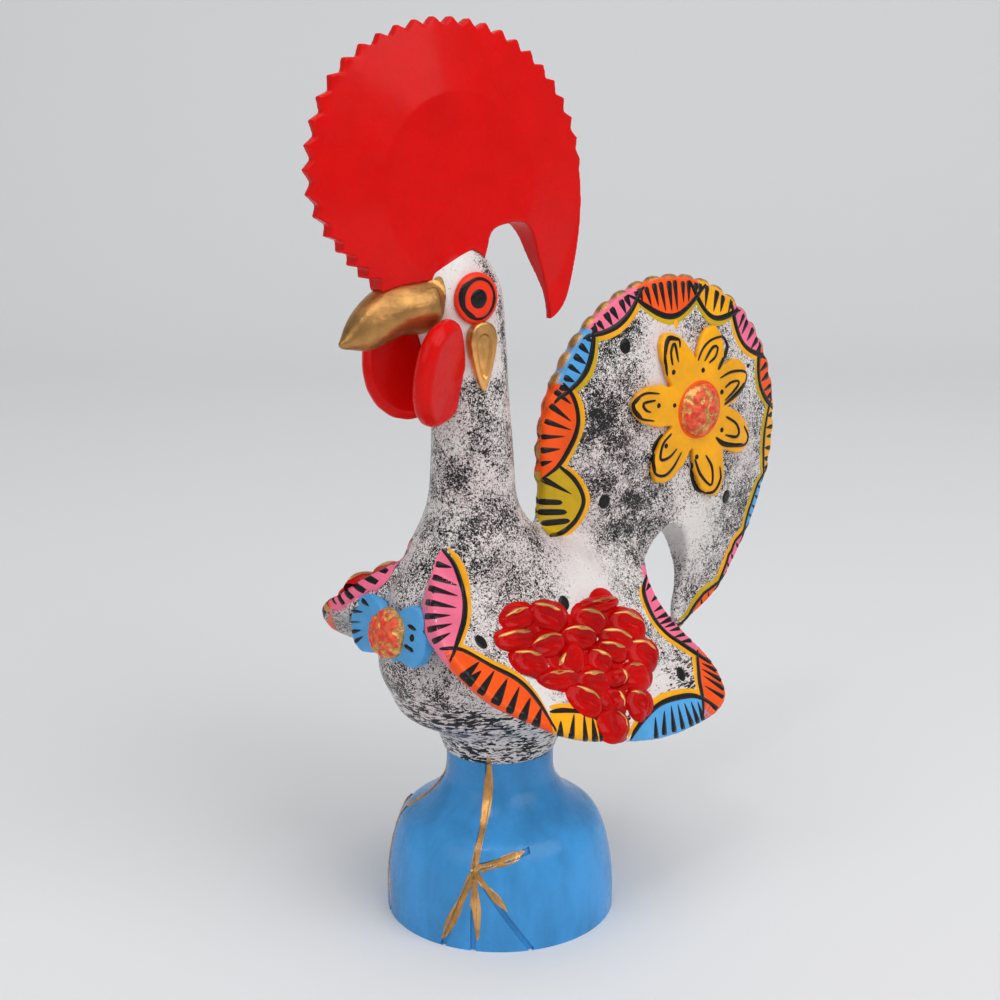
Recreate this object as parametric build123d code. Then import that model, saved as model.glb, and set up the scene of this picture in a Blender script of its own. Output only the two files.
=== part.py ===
"""Rooster of Barcelos: a glazed clay rooster on a bell shaped base, as separate clay pieces.

Frame: millimetres, +Z up, origin at the centre of the foot ring on the ground.
The rooster looks along -X and its left side faces -Y. Pieces that come in pairs are made for the
left side and mirrored.
"""

from build123d import *
import math
import os

# Base: a hollow bell with the legs scratched into it
base_height = 58.0
foot_radius = 39.7
neck_radius = 18.4
base_wall = 5.0
cavity_height = 36.0
groove_width = 2.0
groove_depth = 0.9
knee_height = 28.3
leg_azimuth = 142.0
toe_spread = 22.0
spur_rise = 5.0

# Body, neck and head in one form of level ovals
body_length = 111.0
body_width = 68.0
body_height = 116.0
crown_rise = 58.0
head_setback_share = 0.16
head_half_share = 0.144
throat_half_share = 0.16
chest_front_share = 0.4
head_top = base_height + body_height + crown_rise
head_x = -body_length * head_setback_share

# Comb
comb_radius = 53.0
comb_thickness = 11.0
comb_rim = 2.6
comb_tooth = 2.8
comb_setback = 2.0
comb_foot_drop = 12.6
comb_teeth = 30
comb_fading_teeth = 4
comb_flat_share = 0.55

# Beak
beak_length = 34.6
beak_depth = 18.0
beak_width = 19.2
beak_setback = 10.2
beak_drop = 19.0

# Wattles
wattle_height = 35.0
wattle_width = 26.8
wattle_thickness = 7.0
wattle_edge = 2.2
wattle_splay = 10.7
wattle_flare = 23.0
wattle_setback = 12.7
wattle_offset = 13.0
wattle_drop = 22.4

# Eyes
eye_radius = 8.3
eye_proud = 1.4
eye_edge = 0.8
eye_sides = 28
eye_offset = 0.2
eye_drop = 17.3

# Ear lobes
lobe_height = 22.5
lobe_width = 10.8
lobe_proud = 2.2
lobe_recess = 1.1
lobe_border = 2.6
lobe_offset = 1.2
lobe_drop = 35.7

# Tail
tail_radius = 60.5
tail_thickness = 17.0
tail_rim = 3.2
tail_bump = 2.4
tail_centre_x = 73.5
tail_rise = 97.5
tail_bumps = 26
tail_flat_share = 0.5

# Flower on each face of the tail
tail_petal_length = 33.0
tail_petal_width = 15.0
tail_petal_proud = 2.4
tail_flower_offset_x = 9.0
tail_flower_offset_z = 11.7
tail_boss_radius = 9.2
tail_boss_proud = 6.0

# Flower on the chest
chest_petal_length = 21.5
chest_petal_width = 20.0
chest_petal_thickness = 4.0
chest_flower_lift = 2.4
chest_flower_tilt = 10.0
chest_flower_rise = 49.0
chest_stem_radius = 9.0
chest_stem_length = 9.0
chest_boss_radius = 7.4
chest_boss_proud = 5.4

# Grains on the flower bosses
boss_root = 1.0
boss_sides = 12
boss_grains = 6
grain_sides = 6
grain_radius = 1.8
grain_proud = 0.9

# Wings
wing_length = 123.0
wing_reach = 54.0
wing_height = 69.5
wing_front_x = -51.0
wing_rise = 8.7
wing_rim = 3.4
wing_shoulder = 8.5
wing_root = 16.0
wing_slope = 50.0

# Berries
berry_length = 15.5
berry_width = 13.5
berry_proud = 4.2
berry_sink = 1.6
berry_taper = 24.0
berry_sides = 8

# One overrun for every cut
overrun = 2.0


def smooth_share(stations, at):
    """A smooth curve through hand chosen (position, value) pairs, by a cubic between each two."""
    count = len(stations)
    for index in range(count - 1):
        low, high = stations[index], stations[index + 1]
        if at <= high[0] or index == count - 2:
            before = stations[max(index - 1, 0)]
            after = stations[min(index + 2, count - 1)]
            step = high[0] - low[0]
            slope_low = (high[1] - before[1]) / (high[0] - before[0]) * step
            slope_high = (after[1] - low[1]) / (after[0] - low[0]) * step
            t = (at - low[0]) / step
            return (
                (2 * t**3 - 3 * t**2 + 1) * low[1]
                + (t**3 - 2 * t**2 + t) * slope_low
                + (3 * t**2 - 2 * t**3) * high[1]
                + (t**3 - t**2) * slope_high
            )
    return stations[-1][1]


# Outer line of the bell: radius as a share of the foot radius less the neck radius, height as a
# share of the base height
bell_shares = [
    (1.0, 0.0),
    (1.0, 0.1),
    (0.955, 0.3),
    (0.86, 0.46),
    (0.68, 0.59),
    (0.35, 0.675),
    (0.09, 0.78),
    (0.0, 0.93),
    (0.0, 1.0),
]
cavity_flank_share = 0.333
cavity_shoulder_share = 0.8
# Toes and spur: turn from the leg as a share of the toe spread
toe_turn_shares = (-0.72, 0.0, 1.3)
spur_turn_share = 1.25


def bell_points(inset):
    """The outer line of the bell, moved inwards by inset."""
    spread = foot_radius - neck_radius
    return [
        (neck_radius - inset + spread * out_share, base_height * up_share)
        for out_share, up_share in bell_shares
    ]


def bell_solid():
    foot, *flank, top = bell_points(0)
    section = Polyline(top, (0, top[1]), (0, 0), foot, flank[0]) + Spline(
        *flank, tangents=((0, 1), (0, 1))
    )
    return revolve(make_face(Plane.XZ * (section + Line(flank[-1], top))), Axis.Z)


def groove_floor():
    """The bell as deep as the grooves go, in plain cones."""
    points = bell_points(groove_depth)
    section = Polyline(*points, (0, points[-1][1]), (0, 0), close=True)
    return revolve(make_face(Plane.XZ * section), Axis.Z)


def bell_cavity():
    radius = foot_radius - base_wall
    flank = cavity_height * cavity_flank_share
    shoulder = (radius * cavity_shoulder_share, cavity_height * cavity_shoulder_share)
    top = (0, cavity_height)
    section = Polyline(top, (0, -overrun), (radius, -overrun), (radius, flank)) + Spline(
        (radius, flank), shoulder, top, tangents=((0, 1), (-1, 0))
    )
    return revolve(make_face(Plane.XZ * section), Axis.Z)


def groove_blade(start, end):
    """A thin upright blade along a stroke of the leg, from start to end on the bell.

    Each end is an azimuth in degrees and a height.
    """
    ends = []
    for azimuth, height in (start, end):
        angle = math.radians(azimuth)
        ends.append(Vector(foot_radius * math.cos(angle), foot_radius * math.sin(angle), height))
    along = ends[1] - ends[0]
    middle = (ends[0] + ends[1]) / 2
    outward = Vector(middle.X, middle.Y, 0).normalized()
    across = along.cross(outward).normalized()
    blade = Box(along.length, groove_width, 2 * foot_radius)
    return Plane(origin=middle, x_dir=along, z_dir=along.cross(across)) * blade


def leg_blades(azimuth, spread):
    """The strokes of one leg: thigh, three toes and the spur, from the knee."""
    knee = (azimuth, knee_height)
    thigh = Box(
        foot_radius + overrun,
        groove_width,
        base_height + overrun - knee_height,
        align=(Align.MIN, Align.CENTER, Align.MIN),
    )
    blades = [Rot(0, 0, azimuth) * Pos(0, 0, knee_height) * thigh]
    for turn_share in toe_turn_shares:
        blades.append(groove_blade(knee, (azimuth - turn_share * spread, 0)))
    spur = (azimuth - spur_turn_share * spread, knee_height + spur_rise)
    blades.append(groove_blade(knee, spur))
    return blades


def make_base():
    bell = bell_solid()
    skin = bell - groove_floor()
    base = bell - bell_cavity()
    for blade in leg_blades(-leg_azimuth, -toe_spread) + leg_blades(leg_azimuth, toe_spread):
        base = base - (skin & blade)
    return base


# Level ovals of the body: height share of the body height, centre share and half length share of
# the body length, half width share of the body width
torso_shares = [
    (0, -0.005, 0.168, 0.274),
    (0.034, 0, 0.189, 0.294),
    (0.069, 0.009, 0.216, 0.312),
    (0.121, 0.036, 0.324, 0.382),
    (0.172, 0.063, 0.414, 0.441),
    (0.224, 0.081, 0.459, 0.478),
    (0.276, 0.081, 0.486, 0.493),
    (0.362, 0.081, 0.495, 0.456),
    (0.448, 0.063, 0.459, 0.397),
    (0.534, 0.009, 0.387, 0.331),
    (0.603, -0.045, 0.288, 0.301),
    (0.655, -0.084, 0.216, 0.282),
    (0.703, -0.099, 0.168, 0.253),
    (0.767, -0.105, 0.137, 0.215),
    (0.853, -0.105, 0.126, 0.203),
    (1, -0.11, 0.12, 0.187),
]
# The same for the head, its heights as shares of the crown rise above the body height
head_shares = [
    (0.155, -0.117, 0.124, 0.175),
    (0.345, -0.126, 0.131, 0.166),
    (0.5, -0.14, 0.144, 0.153),
    (0.621, -0.153, 0.153, 0.147),
    (0.724, -0.162, 0.153, 0.144),
    (0.828, -0.167, 0.135, 0.129),
    (0.914, -0.171, 0.104, 0.103),
    (0.974, -0.16, 0.063, 0.062),
    (1.0, -0.158, 0.027, 0.029),
]


def oval(height, centre_share, length_share, width_share):
    """One level section of the body."""
    return Pos(body_length * centre_share, 0, height) * Ellipse(
        body_length * length_share, body_width * width_share
    )


def make_body():
    sections = [
        oval(base_height + body_height * up_share, *rest) for up_share, *rest in torso_shares
    ]
    sections += [
        oval(base_height + body_height + crown_rise * up_share, *rest)
        for up_share, *rest in head_shares
    ]
    return loft(sections)


# Comb outline: turn in degrees from +X and reach as a share of the comb radius
comb_reach_shares = [
    (-41.0, 1.155),
    (-22.0, 1.058),
    (-3.5, 1.011),
    (24.0, 1.006),
    (45.0, 0.99),
    (69.0, 0.974),
    (90.0, 0.972),
    (117.0, 1.0),
    (141.0, 1.055),
    (160.0, 1.045),
    (179.0, 1.01),
    (193.5, 0.922),
    (206.0, 0.845),
    (225.0, 0.777),
]
comb_seat_share = 0.549
comb_first_tooth = 8.0
comb_last_tooth = 225.0
hook_back_turns = (-41, -32, -22, -10)
# Underside of the hook, from its point up and over to the head, as shares of the comb radius from
# the comb centre
hook_inner_shares = [
    (0.765, -0.84),
    (0.705, -0.6),
    (0.622, -0.42),
    (0.567, -0.3),
    (0.48, -0.223),
    (0.36, -0.222),
    (0.25, -0.252),
    (0.208, -0.33),
]
comb_foot_shares = [(0.14, -0.55), (-0.25, -0.72), (-0.5, -0.68)]


def lens(radius, half_middle, half_rim, flat_share):
    """A round plate on the Y axis with a flat middle and a conical bevel down to its rim."""
    outer = 2 * radius
    flat = radius * flat_share
    section = Polyline(
        (0, half_middle),
        (flat, half_middle),
        (radius, half_rim),
        (outer, half_rim),
        (outer, -half_rim),
        (radius, -half_rim),
        (flat, -half_middle),
        (0, -half_middle),
        close=True,
    )
    return Rot(90, 0, 0) * revolve(Plane.XZ * make_face(section), Axis.Z)


def comb_place(x_share, z_share):
    return (
        head_x - comb_setback + comb_radius * x_share,
        head_top - comb_foot_drop + comb_radius * (comb_seat_share + z_share),
    )


def comb_point(turn, cut):
    """A point of the comb's outer line, cut back towards the centre."""
    reach_share = smooth_share(comb_reach_shares, turn) - cut / comb_radius
    angle = math.radians(turn)
    return comb_place(reach_share * math.cos(angle), reach_share * math.sin(angle))


def make_comb(body, beak):
    teeth = []
    pitch = (comb_last_tooth - comb_first_tooth) / (comb_teeth - 1)
    for index in range(comb_teeth):
        turn = comb_first_tooth + pitch * index
        fade = min(1, (index + 1) / comb_fading_teeth)
        teeth.append(comb_point(turn - pitch / 2, comb_tooth * fade))
        teeth.append(comb_point(turn, 0))
    hook_back = [comb_point(turn, 0) for turn in hook_back_turns]
    hook_inner = [comb_place(*shares) for shares in hook_inner_shares]
    foot = [comb_place(*shares) for shares in comb_foot_shares]
    outline = (
        Spline(hook_inner[0], *hook_back, teeth[0])
        + Polyline(*teeth)
        + Polyline(teeth[-1], *reversed(foot), hook_inner[-1])
        + Spline(*reversed(hook_inner))
    )
    plate = extrude(Plane.XZ * make_face(outline), comb_thickness, both=True)
    centre = comb_place(0, 0)
    bulge = Pos(centre[0], 0, centre[1]) * lens(
        comb_radius, comb_thickness / 2, comb_rim / 2, comb_flat_share
    )
    return (plate & bulge) - body - beak


# Beak sections from the root to the tip: share of the beak length, drop of the centre and half
# depth as shares of the beak depth, half width share of the beak width
beak_shares = [
    (0.0, 0.0, 0.42, 0.4),
    (0.116, 0.0, 0.5, 0.5),
    (0.29, 0.022, 0.483, 0.49),
    (0.49, 0.089, 0.483, 0.438),
    (0.665, 0.228, 0.461, 0.36),
    (0.81, 0.34, 0.339, 0.27),
    (0.925, 0.472, 0.167, 0.15),
    (1.0, 0.545, 0.044, 0.042),
]


def make_beak(body):
    sections = []
    for along_share, drop_share, depth_share, width_share in beak_shares:
        place = Plane(
            origin=(
                head_x - beak_setback - beak_length * along_share,
                0,
                head_top - beak_drop - beak_depth * drop_share,
            ),
            x_dir=(0, 1, 0),
            z_dir=(-1, 0, 0),
        )
        sections.append(place * Ellipse(beak_width * width_share, beak_depth * depth_share))
    return loft(sections) - body


# Wattle outline from its top, round the front and bottom, as shares of width and height
wattle_shares = [
    (0.12, 0.0),
    (-0.14, 0.0),
    (-0.35, -0.09),
    (-0.46, -0.24),
    (-0.5, -0.42),
    (-0.49, -0.62),
    (-0.42, -0.78),
    (-0.28, -0.92),
    (-0.07, -1.0),
    (0.16, -0.99),
    (0.35, -0.93),
    (0.47, -0.82),
    (0.5, -0.68),
    (0.47, -0.54),
    (0.38, -0.33),
    (0.25, -0.13),
]


def make_wattle(body, beak):
    points = [
        (wattle_width * x_share, wattle_height * z_share) for x_share, z_share in wattle_shares
    ]
    outline = make_face(Plane.XZ * Polyline(*points, close=True))
    drop = extrude(outline, wattle_thickness / 2, both=True)
    drop = Rot(0, 0, wattle_flare) * Rot(wattle_splay, 0, 0) * chamfer(drop.edges(), wattle_edge)
    place = Pos(head_x - wattle_setback, -wattle_offset, head_top - wattle_drop)
    return place * drop - body - beak


def make_eye(body):
    reach = body_width * head_half_share + eye_proud
    disc = extrude(RegularPolygon(eye_radius, eye_sides), reach)
    disc = chamfer(disc.faces().sort_by(Axis.Z)[-1].edges(), eye_edge)
    return Pos(head_x + eye_offset, 0, head_top - eye_drop) * Rot(90, 0, 0) * disc - body


# Half outline of the leaf from its foot up: share of the half width and share of the height
leaf_shares = [
    (0.0, -0.5),
    (0.3, -0.38),
    (0.6, -0.19),
    (0.86, 0.04),
    (1.0, 0.24),
    (0.88, 0.38),
    (0.6, 0.46),
    (0.2, 0.5),
]


def leaf(height, width):
    """A leaf outline with a round top and a pointed foot."""
    right = [
        (width / 2 * out_share, height * up_share) for out_share, up_share in leaf_shares
    ]
    left = [(-out, up) for out, up in reversed(right[1:])]
    return make_face(Polyline(*right, *left, close=True))


def make_ear_lobe(body, eye):
    reach = body_width * throat_half_share + lobe_proud
    blank = extrude(leaf(lobe_height, lobe_width), reach)
    inner = leaf(lobe_height - 3 * lobe_border, lobe_width - 2 * lobe_border)
    pocket = Pos(0, 0, reach - lobe_recess) * extrude(inner, lobe_recess + overrun)
    place = Pos(head_x + lobe_offset, 0, head_top - lobe_drop) * Rot(90, 0, 0)
    return place * (blank - pocket) - body - eye


# Tail outline: turn in degrees and reach as a share of the tail radius
tail_reach_shares = [
    (-81.0, 1.24),
    (-66.0, 1.18),
    (-54.0, 1.11),
    (-42.0, 1.055),
    (-30.0, 1.02),
    (-15.0, 1.0),
    (0.0, 0.99),
    (30.0, 1.0),
    (60.0, 1.0),
    (100.0, 0.99),
    (140.0, 0.97),
    (175.0, 0.96),
    (185.0, 0.96),
    (205.0, 1.03),
]
tail_first_bump = -22.0
tail_last_bump = 188.0
# One bump of the rim: place along it, and cut as a share of the bump height
bump_shares = [(0.0, 1.0), (0.25, 0.15), (0.75, 0.15)]
tail_drop_turns = (-78, -66, -54, -42, -30)
# Inner line of the tail from its drooping point up the arch and into the body, as shares of the
# tail radius from the tail centre
tail_inner_shares = [
    (0.2, -1.228),
    (0.14, -1.066),
    (0.182, -0.9),
    (0.172, -0.704),
    (0.105, -0.565),
    (-0.01, -0.491),
    (-0.13, -0.58),
    (-0.175, -0.73),
    (-0.2, -0.85),
]
tail_root_shares = [(-0.35, -0.87), (-0.8, -0.75), (-1.0, -0.6)]


def tail_place(x_share, z_share):
    return (
        tail_centre_x + tail_radius * x_share,
        base_height + tail_rise + tail_radius * z_share,
    )


def tail_point(turn, cut):
    """A point of the tail's outer line, cut back towards the centre."""
    reach_share = smooth_share(tail_reach_shares, turn) - cut / tail_radius
    angle = math.radians(turn)
    return tail_place(reach_share * math.cos(angle), reach_share * math.sin(angle))


def tail_lens(proud):
    """The bulge of the tail, grown by proud on both faces."""
    centre = tail_place(0, 0)
    return Pos(centre[0], 0, centre[1]) * lens(
        tail_radius, tail_thickness / 2 + proud, tail_rim / 2 + proud, tail_flat_share
    )


def make_tail(body):
    pitch = (tail_last_bump - tail_first_bump) / tail_bumps
    rim = [
        tail_point(tail_first_bump + pitch * (index + along), tail_bump * cut_share)
        for index in range(tail_bumps)
        for along, cut_share in bump_shares
    ]
    rim.append(tail_point(tail_last_bump, tail_bump))
    inner = [tail_place(*shares) for shares in tail_inner_shares]
    root = [tail_place(*shares) for shares in tail_root_shares]
    drop = [tail_point(turn, tail_bump / 2) for turn in tail_drop_turns]
    outline = (
        Polyline(*rim)
        + Spline(inner[0], *drop, rim[0])
        + Spline(*inner)
        + Polyline(inner[-1], *root, rim[-1])
    )
    plate = extrude(Plane.XZ * make_face(outline), tail_thickness, both=True)
    return (plate & tail_lens(0)) - body


# Petals of the tail's flower, laid by hand: turn in degrees and length share
tail_petal_shares = [
    (170, 1.0),
    (119, 0.98),
    (70, 0.93),
    (25, 0.9),
    (-30, 1.0),
    (-73, 1.06),
    (-131, 0.95),
]
chest_petal_shares = [(12, 0.95), (176, 1.0)]
# Half outline of a petal: share of its length and share of its half width
petal_shares = [(0.0, 0.4), (0.35, 0.86), (0.6, 1.0), (0.82, 0.83), (0.94, 0.5), (1.0, 0.0)]


def petal(length, width):
    """A petal outline from the middle of the flower outwards along +X."""
    half = [
        (length * along_share, width / 2 * out_share) for along_share, out_share in petal_shares
    ]
    other = [(along, -out) for along, out in reversed(half[:-1])]
    return make_face(Polyline(*half, *other, close=True))


def flower(petals, length, width, middle):
    """A flower outline of hand laid petals round a disc."""
    outline = Circle(middle)
    for turn, length_share in petals:
        outline = outline + Rot(0, 0, turn) * petal(length * length_share, width)
    return outline


def make_tail_flower(tail):
    outline = flower(
        tail_petal_shares, tail_petal_length, tail_petal_width, tail_boss_radius + tail_petal_proud
    )
    place = Plane.XZ * Pos(
        tail_centre_x + tail_flower_offset_x, base_height + tail_rise + tail_flower_offset_z
    )
    relief = extrude(place * outline, tail_thickness)
    return (relief & tail_lens(tail_petal_proud)) - tail


# Tiers of a boss: share of its radius and share of its proud height
boss_tier_shares = [(1.0, 0.0), (0.9, 0.42), (0.6, 0.8), (0.2, 1.0)]
grain_ring_share = 0.6
grain_foot_share = 0.55
grain_top_share = 0.55


def frustum(low_radius, high_radius, sides, height):
    """A many sided frustum standing on XY."""
    narrowing = (low_radius - high_radius) * math.cos(math.pi / sides)
    taper = math.degrees(math.atan(narrowing / height))
    return extrude(RegularPolygon(low_radius, sides), height, taper=taper)


def boss(radius, proud):
    """A low dome in tiers with clay grains pressed on it, standing on XY with its root below."""
    dome = Pos(0, 0, -boss_root) * extrude(RegularPolygon(radius, boss_sides), boss_root)
    for low, high in zip(boss_tier_shares, boss_tier_shares[1:]):
        tier = frustum(
            radius * low[0], radius * high[0], boss_sides, proud * (high[1] - low[1])
        )
        dome = dome + Pos(0, 0, proud * low[1]) * tier
    foot = proud * grain_foot_share
    grain = frustum(
        grain_radius, grain_radius * grain_top_share, grain_sides, proud - foot + grain_proud
    )
    dome = dome + Pos(0, 0, foot) * grain
    for index in range(boss_grains):
        turn = Rot(0, 0, 360 / boss_grains * index)
        dome = dome + turn * Pos(radius * grain_ring_share, 0, foot / 2) * grain
    return dome


def make_tail_boss(tail_flower):
    face = tail_thickness / 2 + tail_petal_proud
    centre = (
        tail_centre_x + tail_flower_offset_x,
        -face,
        base_height + tail_rise + tail_flower_offset_z,
    )
    return Pos(*centre) * Rot(90, 0, 0) * boss(tail_boss_radius, tail_boss_proud) - tail_flower


def chest_plane(lift):
    """The plane before the chest, facing -X and a little up, with its local X to the left."""
    tilt = math.radians(chest_flower_tilt)
    outward = Vector(-math.cos(tilt), 0, math.sin(tilt))
    front = Vector(-body_length * chest_front_share, 0, base_height + chest_flower_rise)
    origin = front + outward * (chest_flower_lift + lift)
    return Plane(origin=origin, x_dir=(0, -1, 0), z_dir=outward)


def make_chest_flower(body, wing):
    outline = flower(
        chest_petal_shares, chest_petal_length, chest_petal_width, chest_boss_radius
    )
    plate = extrude(outline, chest_petal_thickness)
    stem = Pos(0, 0, -chest_stem_length) * Cylinder(
        chest_stem_radius,
        chest_stem_length + overrun,
        align=(Align.CENTER, Align.CENTER, Align.MIN),
    )
    whole = chest_plane(-chest_petal_thickness) * (plate + stem) - body
    return whole - wing - mirror(wing, Plane.XZ)


def make_chest_boss(chest_flower):
    return chest_plane(0) * boss(chest_boss_radius, chest_boss_proud) - chest_flower


# Wing rim from the chest round the hanging tip and back up to the body, as shares of the wing
# length from the front, the wing reach from the middle and the wing height from its lowest point
wing_rim_shares = [
    (0.143, 0.155, 0.935),
    (0.073, 0.36, 0.82),
    (0.036, 0.518, 0.722),
    (0.037, 0.655, 0.622),
    (0.056, 0.738, 0.541),
    (0.108, 0.846, 0.421),
    (0.186, 0.918, 0.325),
    (0.293, 0.974, 0.206),
    (0.404, 0.99, 0.146),
    (0.554, 0.957, 0.068),
    (0.661, 0.923, 0.025),
    (0.82, 0.852, 0.0),
    (0.93, 0.778, 0.0),
    (0.99, 0.71, 0.043),
    (0.987, 0.614, 0.179),
    (0.897, 0.475, 0.358),
    (0.842, 0.295, 0.569),
    (0.868, 0.197, 0.673),
]
wing_seam_shares = [(0.88, -0.3, 1.0), (0.18, -0.3, 1.0)]
wing_middle_shares = (0.5, 0.6, 0.4)
# Upright sections of the wing blank: place along the wing length, then the heights of its top at
# the four reaches, as shares of the wing height over its lowest point
wing_blank_reach_shares = (0, 0.5, 1.0, 1.2)
wing_blank_shares = [
    (-0.1, 1.0, 0.76, 0.36, 0.22),
    (0.17, 0.98, 0.66, 0.27, 0.132),
    (0.42, 0.97, 0.6, 0.13, -0.024),
    (0.7, 0.92, 0.53, -0.08, -0.262),
    (1.05, 0.88, 0.33, -0.28, -0.462),
]


def wing_point(x_share, y_share, z_share):
    return Vector(
        wing_front_x + wing_length * x_share,
        -wing_reach * y_share,
        base_height + wing_rise + wing_height * z_share,
    )


def wing_blank():
    """A sloping sheet from the middle of the back outwards, past every edge of the wing."""
    edge = wing_rim / math.cos(math.radians(wing_slope))
    sections = []
    for x_share, *height_shares in wing_blank_shares:
        top = [
            wing_point(x_share, y_share, z_share)
            for y_share, z_share in zip(wing_blank_reach_shares, height_shares)
        ]
        drops = (wing_root, wing_shoulder, edge, edge)
        low = [point - Vector(0, 0, drop) for point, drop in zip(top, drops)]
        outline = (
            Spline(*top)
            + Line(top[-1], low[-1])
            + Spline(*reversed(low))
            + Line(low[0], top[0])
        )
        sections.append(make_face(outline))
    return loft(sections)


def make_wing(body, tail):
    lean = math.radians(wing_slope)
    place = Plane(
        origin=wing_point(*wing_middle_shares),
        x_dir=(1, 0, 0),
        z_dir=(0, -math.sin(lean), math.cos(lean)),
    )
    rim = [place.to_local_coords(wing_point(*shares)) for shares in wing_rim_shares]
    seam = [place.to_local_coords(wing_point(*shares)) for shares in wing_seam_shares]
    points = [(point.X, point.Y) for point in rim]
    closing = [points[-1]] + [(point.X, point.Y) for point in seam] + [points[0]]
    outline = make_face(Spline(*points) + Polyline(*closing))
    prism = extrude(place * outline, wing_reach, both=True)
    return (wing_blank() & prism) - body - tail


# Places of the berries: shares of the wing length from the front and of the wing reach
berry_shares = [
    (0.313, 0.448),
    (0.415, 0.47),
    (0.61, 0.463),
    (0.543, 0.511),
    (0.68, 0.52),
    (0.274, 0.546),
    (0.377, 0.583),
    (0.497, 0.548),
    (0.6, 0.585),
    (0.283, 0.643),
    (0.427, 0.656),
    (0.526, 0.65),
    (0.699, 0.628),
    (0.35, 0.739),
    (0.475, 0.731),
    (0.572, 0.709),
    (0.651, 0.7),
    (0.417, 0.819),
    (0.523, 0.807),
    (0.607, 0.809),
    (0.479, 0.87),
]


def make_berry():
    """One berry: a many sided button that narrows upwards, its long way along X."""
    corners = []
    for index in range(berry_sides):
        angle = 2 * math.pi * (index + 0.5) / berry_sides
        corners.append(
            (berry_length / 2 * math.cos(angle), berry_width / 2 * math.sin(angle))
        )
    outline = make_face(Polyline(*corners, close=True))
    return Pos(0, 0, -berry_sink) * extrude(outline, berry_sink + berry_proud, taper=berry_taper)


def make_berries(body, wing):
    berry = make_berry()
    bunch = []
    for x_share, y_share in berry_shares:
        foot = wing_point(x_share, y_share, 0)
        probe = Axis((foot.X, foot.Y, 0), (0, 0, 1))
        hits = body.find_intersection_points(probe) + wing.find_intersection_points(probe)
        point, outward = max(hits, key=lambda hit: hit[0].Z)
        if outward.Z < 0:
            outward = -outward
        bunch.append(Plane(origin=point, x_dir=(1, 0, 0), z_dir=outward) * berry)
    return Part() + bunch - wing - body


def main():
    os.makedirs("parts", exist_ok=True)
    body = make_body()
    beak = make_beak(body)
    tail = make_tail(body)
    eye = make_eye(body)
    wing = make_wing(body, tail)
    chest_flower = make_chest_flower(body, wing)
    tail_flower = make_tail_flower(tail)
    pieces = {
        "base": make_base(),
        "body": body,
        "beak": beak,
        "comb": make_comb(body, beak),
        "tail": tail,
        "chest_flower": chest_flower,
        "chest_flower_boss": make_chest_boss(chest_flower),
    }
    pairs = {
        "wattle": make_wattle(body, beak),
        "eye": eye,
        "ear_lobe": make_ear_lobe(body, eye),
        "wing": wing,
        "berries": make_berries(body, wing),
        "tail_flower": tail_flower,
        "tail_flower_boss": make_tail_boss(tail_flower),
    }
    for name, shape in pairs.items():
        pieces[name + "_left"] = shape
        pieces[name + "_right"] = mirror(shape, Plane.XZ)
    for node, shape in pieces.items():
        export_step(shape, "parts/" + node + ".step")


main()
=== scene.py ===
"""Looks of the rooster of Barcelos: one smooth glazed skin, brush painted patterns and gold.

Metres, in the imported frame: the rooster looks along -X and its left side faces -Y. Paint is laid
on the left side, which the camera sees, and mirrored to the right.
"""

import math
import random

import bmesh
import bpy
import numpy as np
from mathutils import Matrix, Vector
from mathutils.bvhtree import BVHTree
from mathutils.kdtree import KDTree


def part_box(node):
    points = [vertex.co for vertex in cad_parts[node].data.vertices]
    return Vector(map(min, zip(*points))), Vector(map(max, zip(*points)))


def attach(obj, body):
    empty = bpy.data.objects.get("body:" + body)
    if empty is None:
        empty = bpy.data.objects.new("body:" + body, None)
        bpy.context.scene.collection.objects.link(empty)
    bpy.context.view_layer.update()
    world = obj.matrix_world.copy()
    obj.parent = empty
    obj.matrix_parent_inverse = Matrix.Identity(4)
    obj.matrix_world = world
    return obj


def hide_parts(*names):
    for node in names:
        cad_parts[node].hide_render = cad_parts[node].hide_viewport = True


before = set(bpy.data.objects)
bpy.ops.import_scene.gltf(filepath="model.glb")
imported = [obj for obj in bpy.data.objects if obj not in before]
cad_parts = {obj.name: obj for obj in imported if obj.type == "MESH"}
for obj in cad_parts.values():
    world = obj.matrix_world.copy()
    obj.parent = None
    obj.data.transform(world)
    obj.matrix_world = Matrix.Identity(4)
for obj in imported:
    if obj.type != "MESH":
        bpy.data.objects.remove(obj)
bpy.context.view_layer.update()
scene = bpy.context.scene
dice = random.Random(5)
mm = 0.001

# Camera: fitted to the foot ring, comb, tail and paired pieces of the photograph
camera_azimuth = -39.0
camera_distance = 0.540
camera_height = 0.2813
camera_pitch = 14.17
camera_lens = 60.04
sensor_width = 36.0
photo_pixels = 1000

# Sizes of the work in clay and paint
skin_voxel = 0.75 * mm
fine_voxel = 0.4 * mm
paint_step = 0.9 * mm
paint_sink = 0.03 * mm
band_lift = 0.07 * mm
fill_lift = 0.14 * mm
wedge_lift = 0.2 * mm
line_lift = 0.25 * mm
line_width = 1.9 * mm
band_width = 2.3 * mm
wedge_width = 2.3 * mm
weld_gap = 0.002 * mm
seat_margin = 1.0 * mm
seat_fade = 3 * mm

# Searches on the clay: how far two neighbours in a line or coat may lie apart
sight_leap = 25 * mm
side_leap = 30 * mm
row_leap = 6 * mm
line_leap = 3.5 * mm
shortest_line = 0.2 * mm
bell_clear = 5 * mm
side_start = 150 * mm
side_depth = side_start - 8 * mm

# The far wing hangs differently from the near one
far_bend_lift = 4.0 * mm
far_bend_forward = 3.0 * mm
far_bend_from = 26 * mm
far_bend_run = 14 * mm
far_bend_back = 12 * mm
far_bend_length = 22 * mm
far_bend_top = 150 * mm
far_bend_fade = 12 * mm

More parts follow.
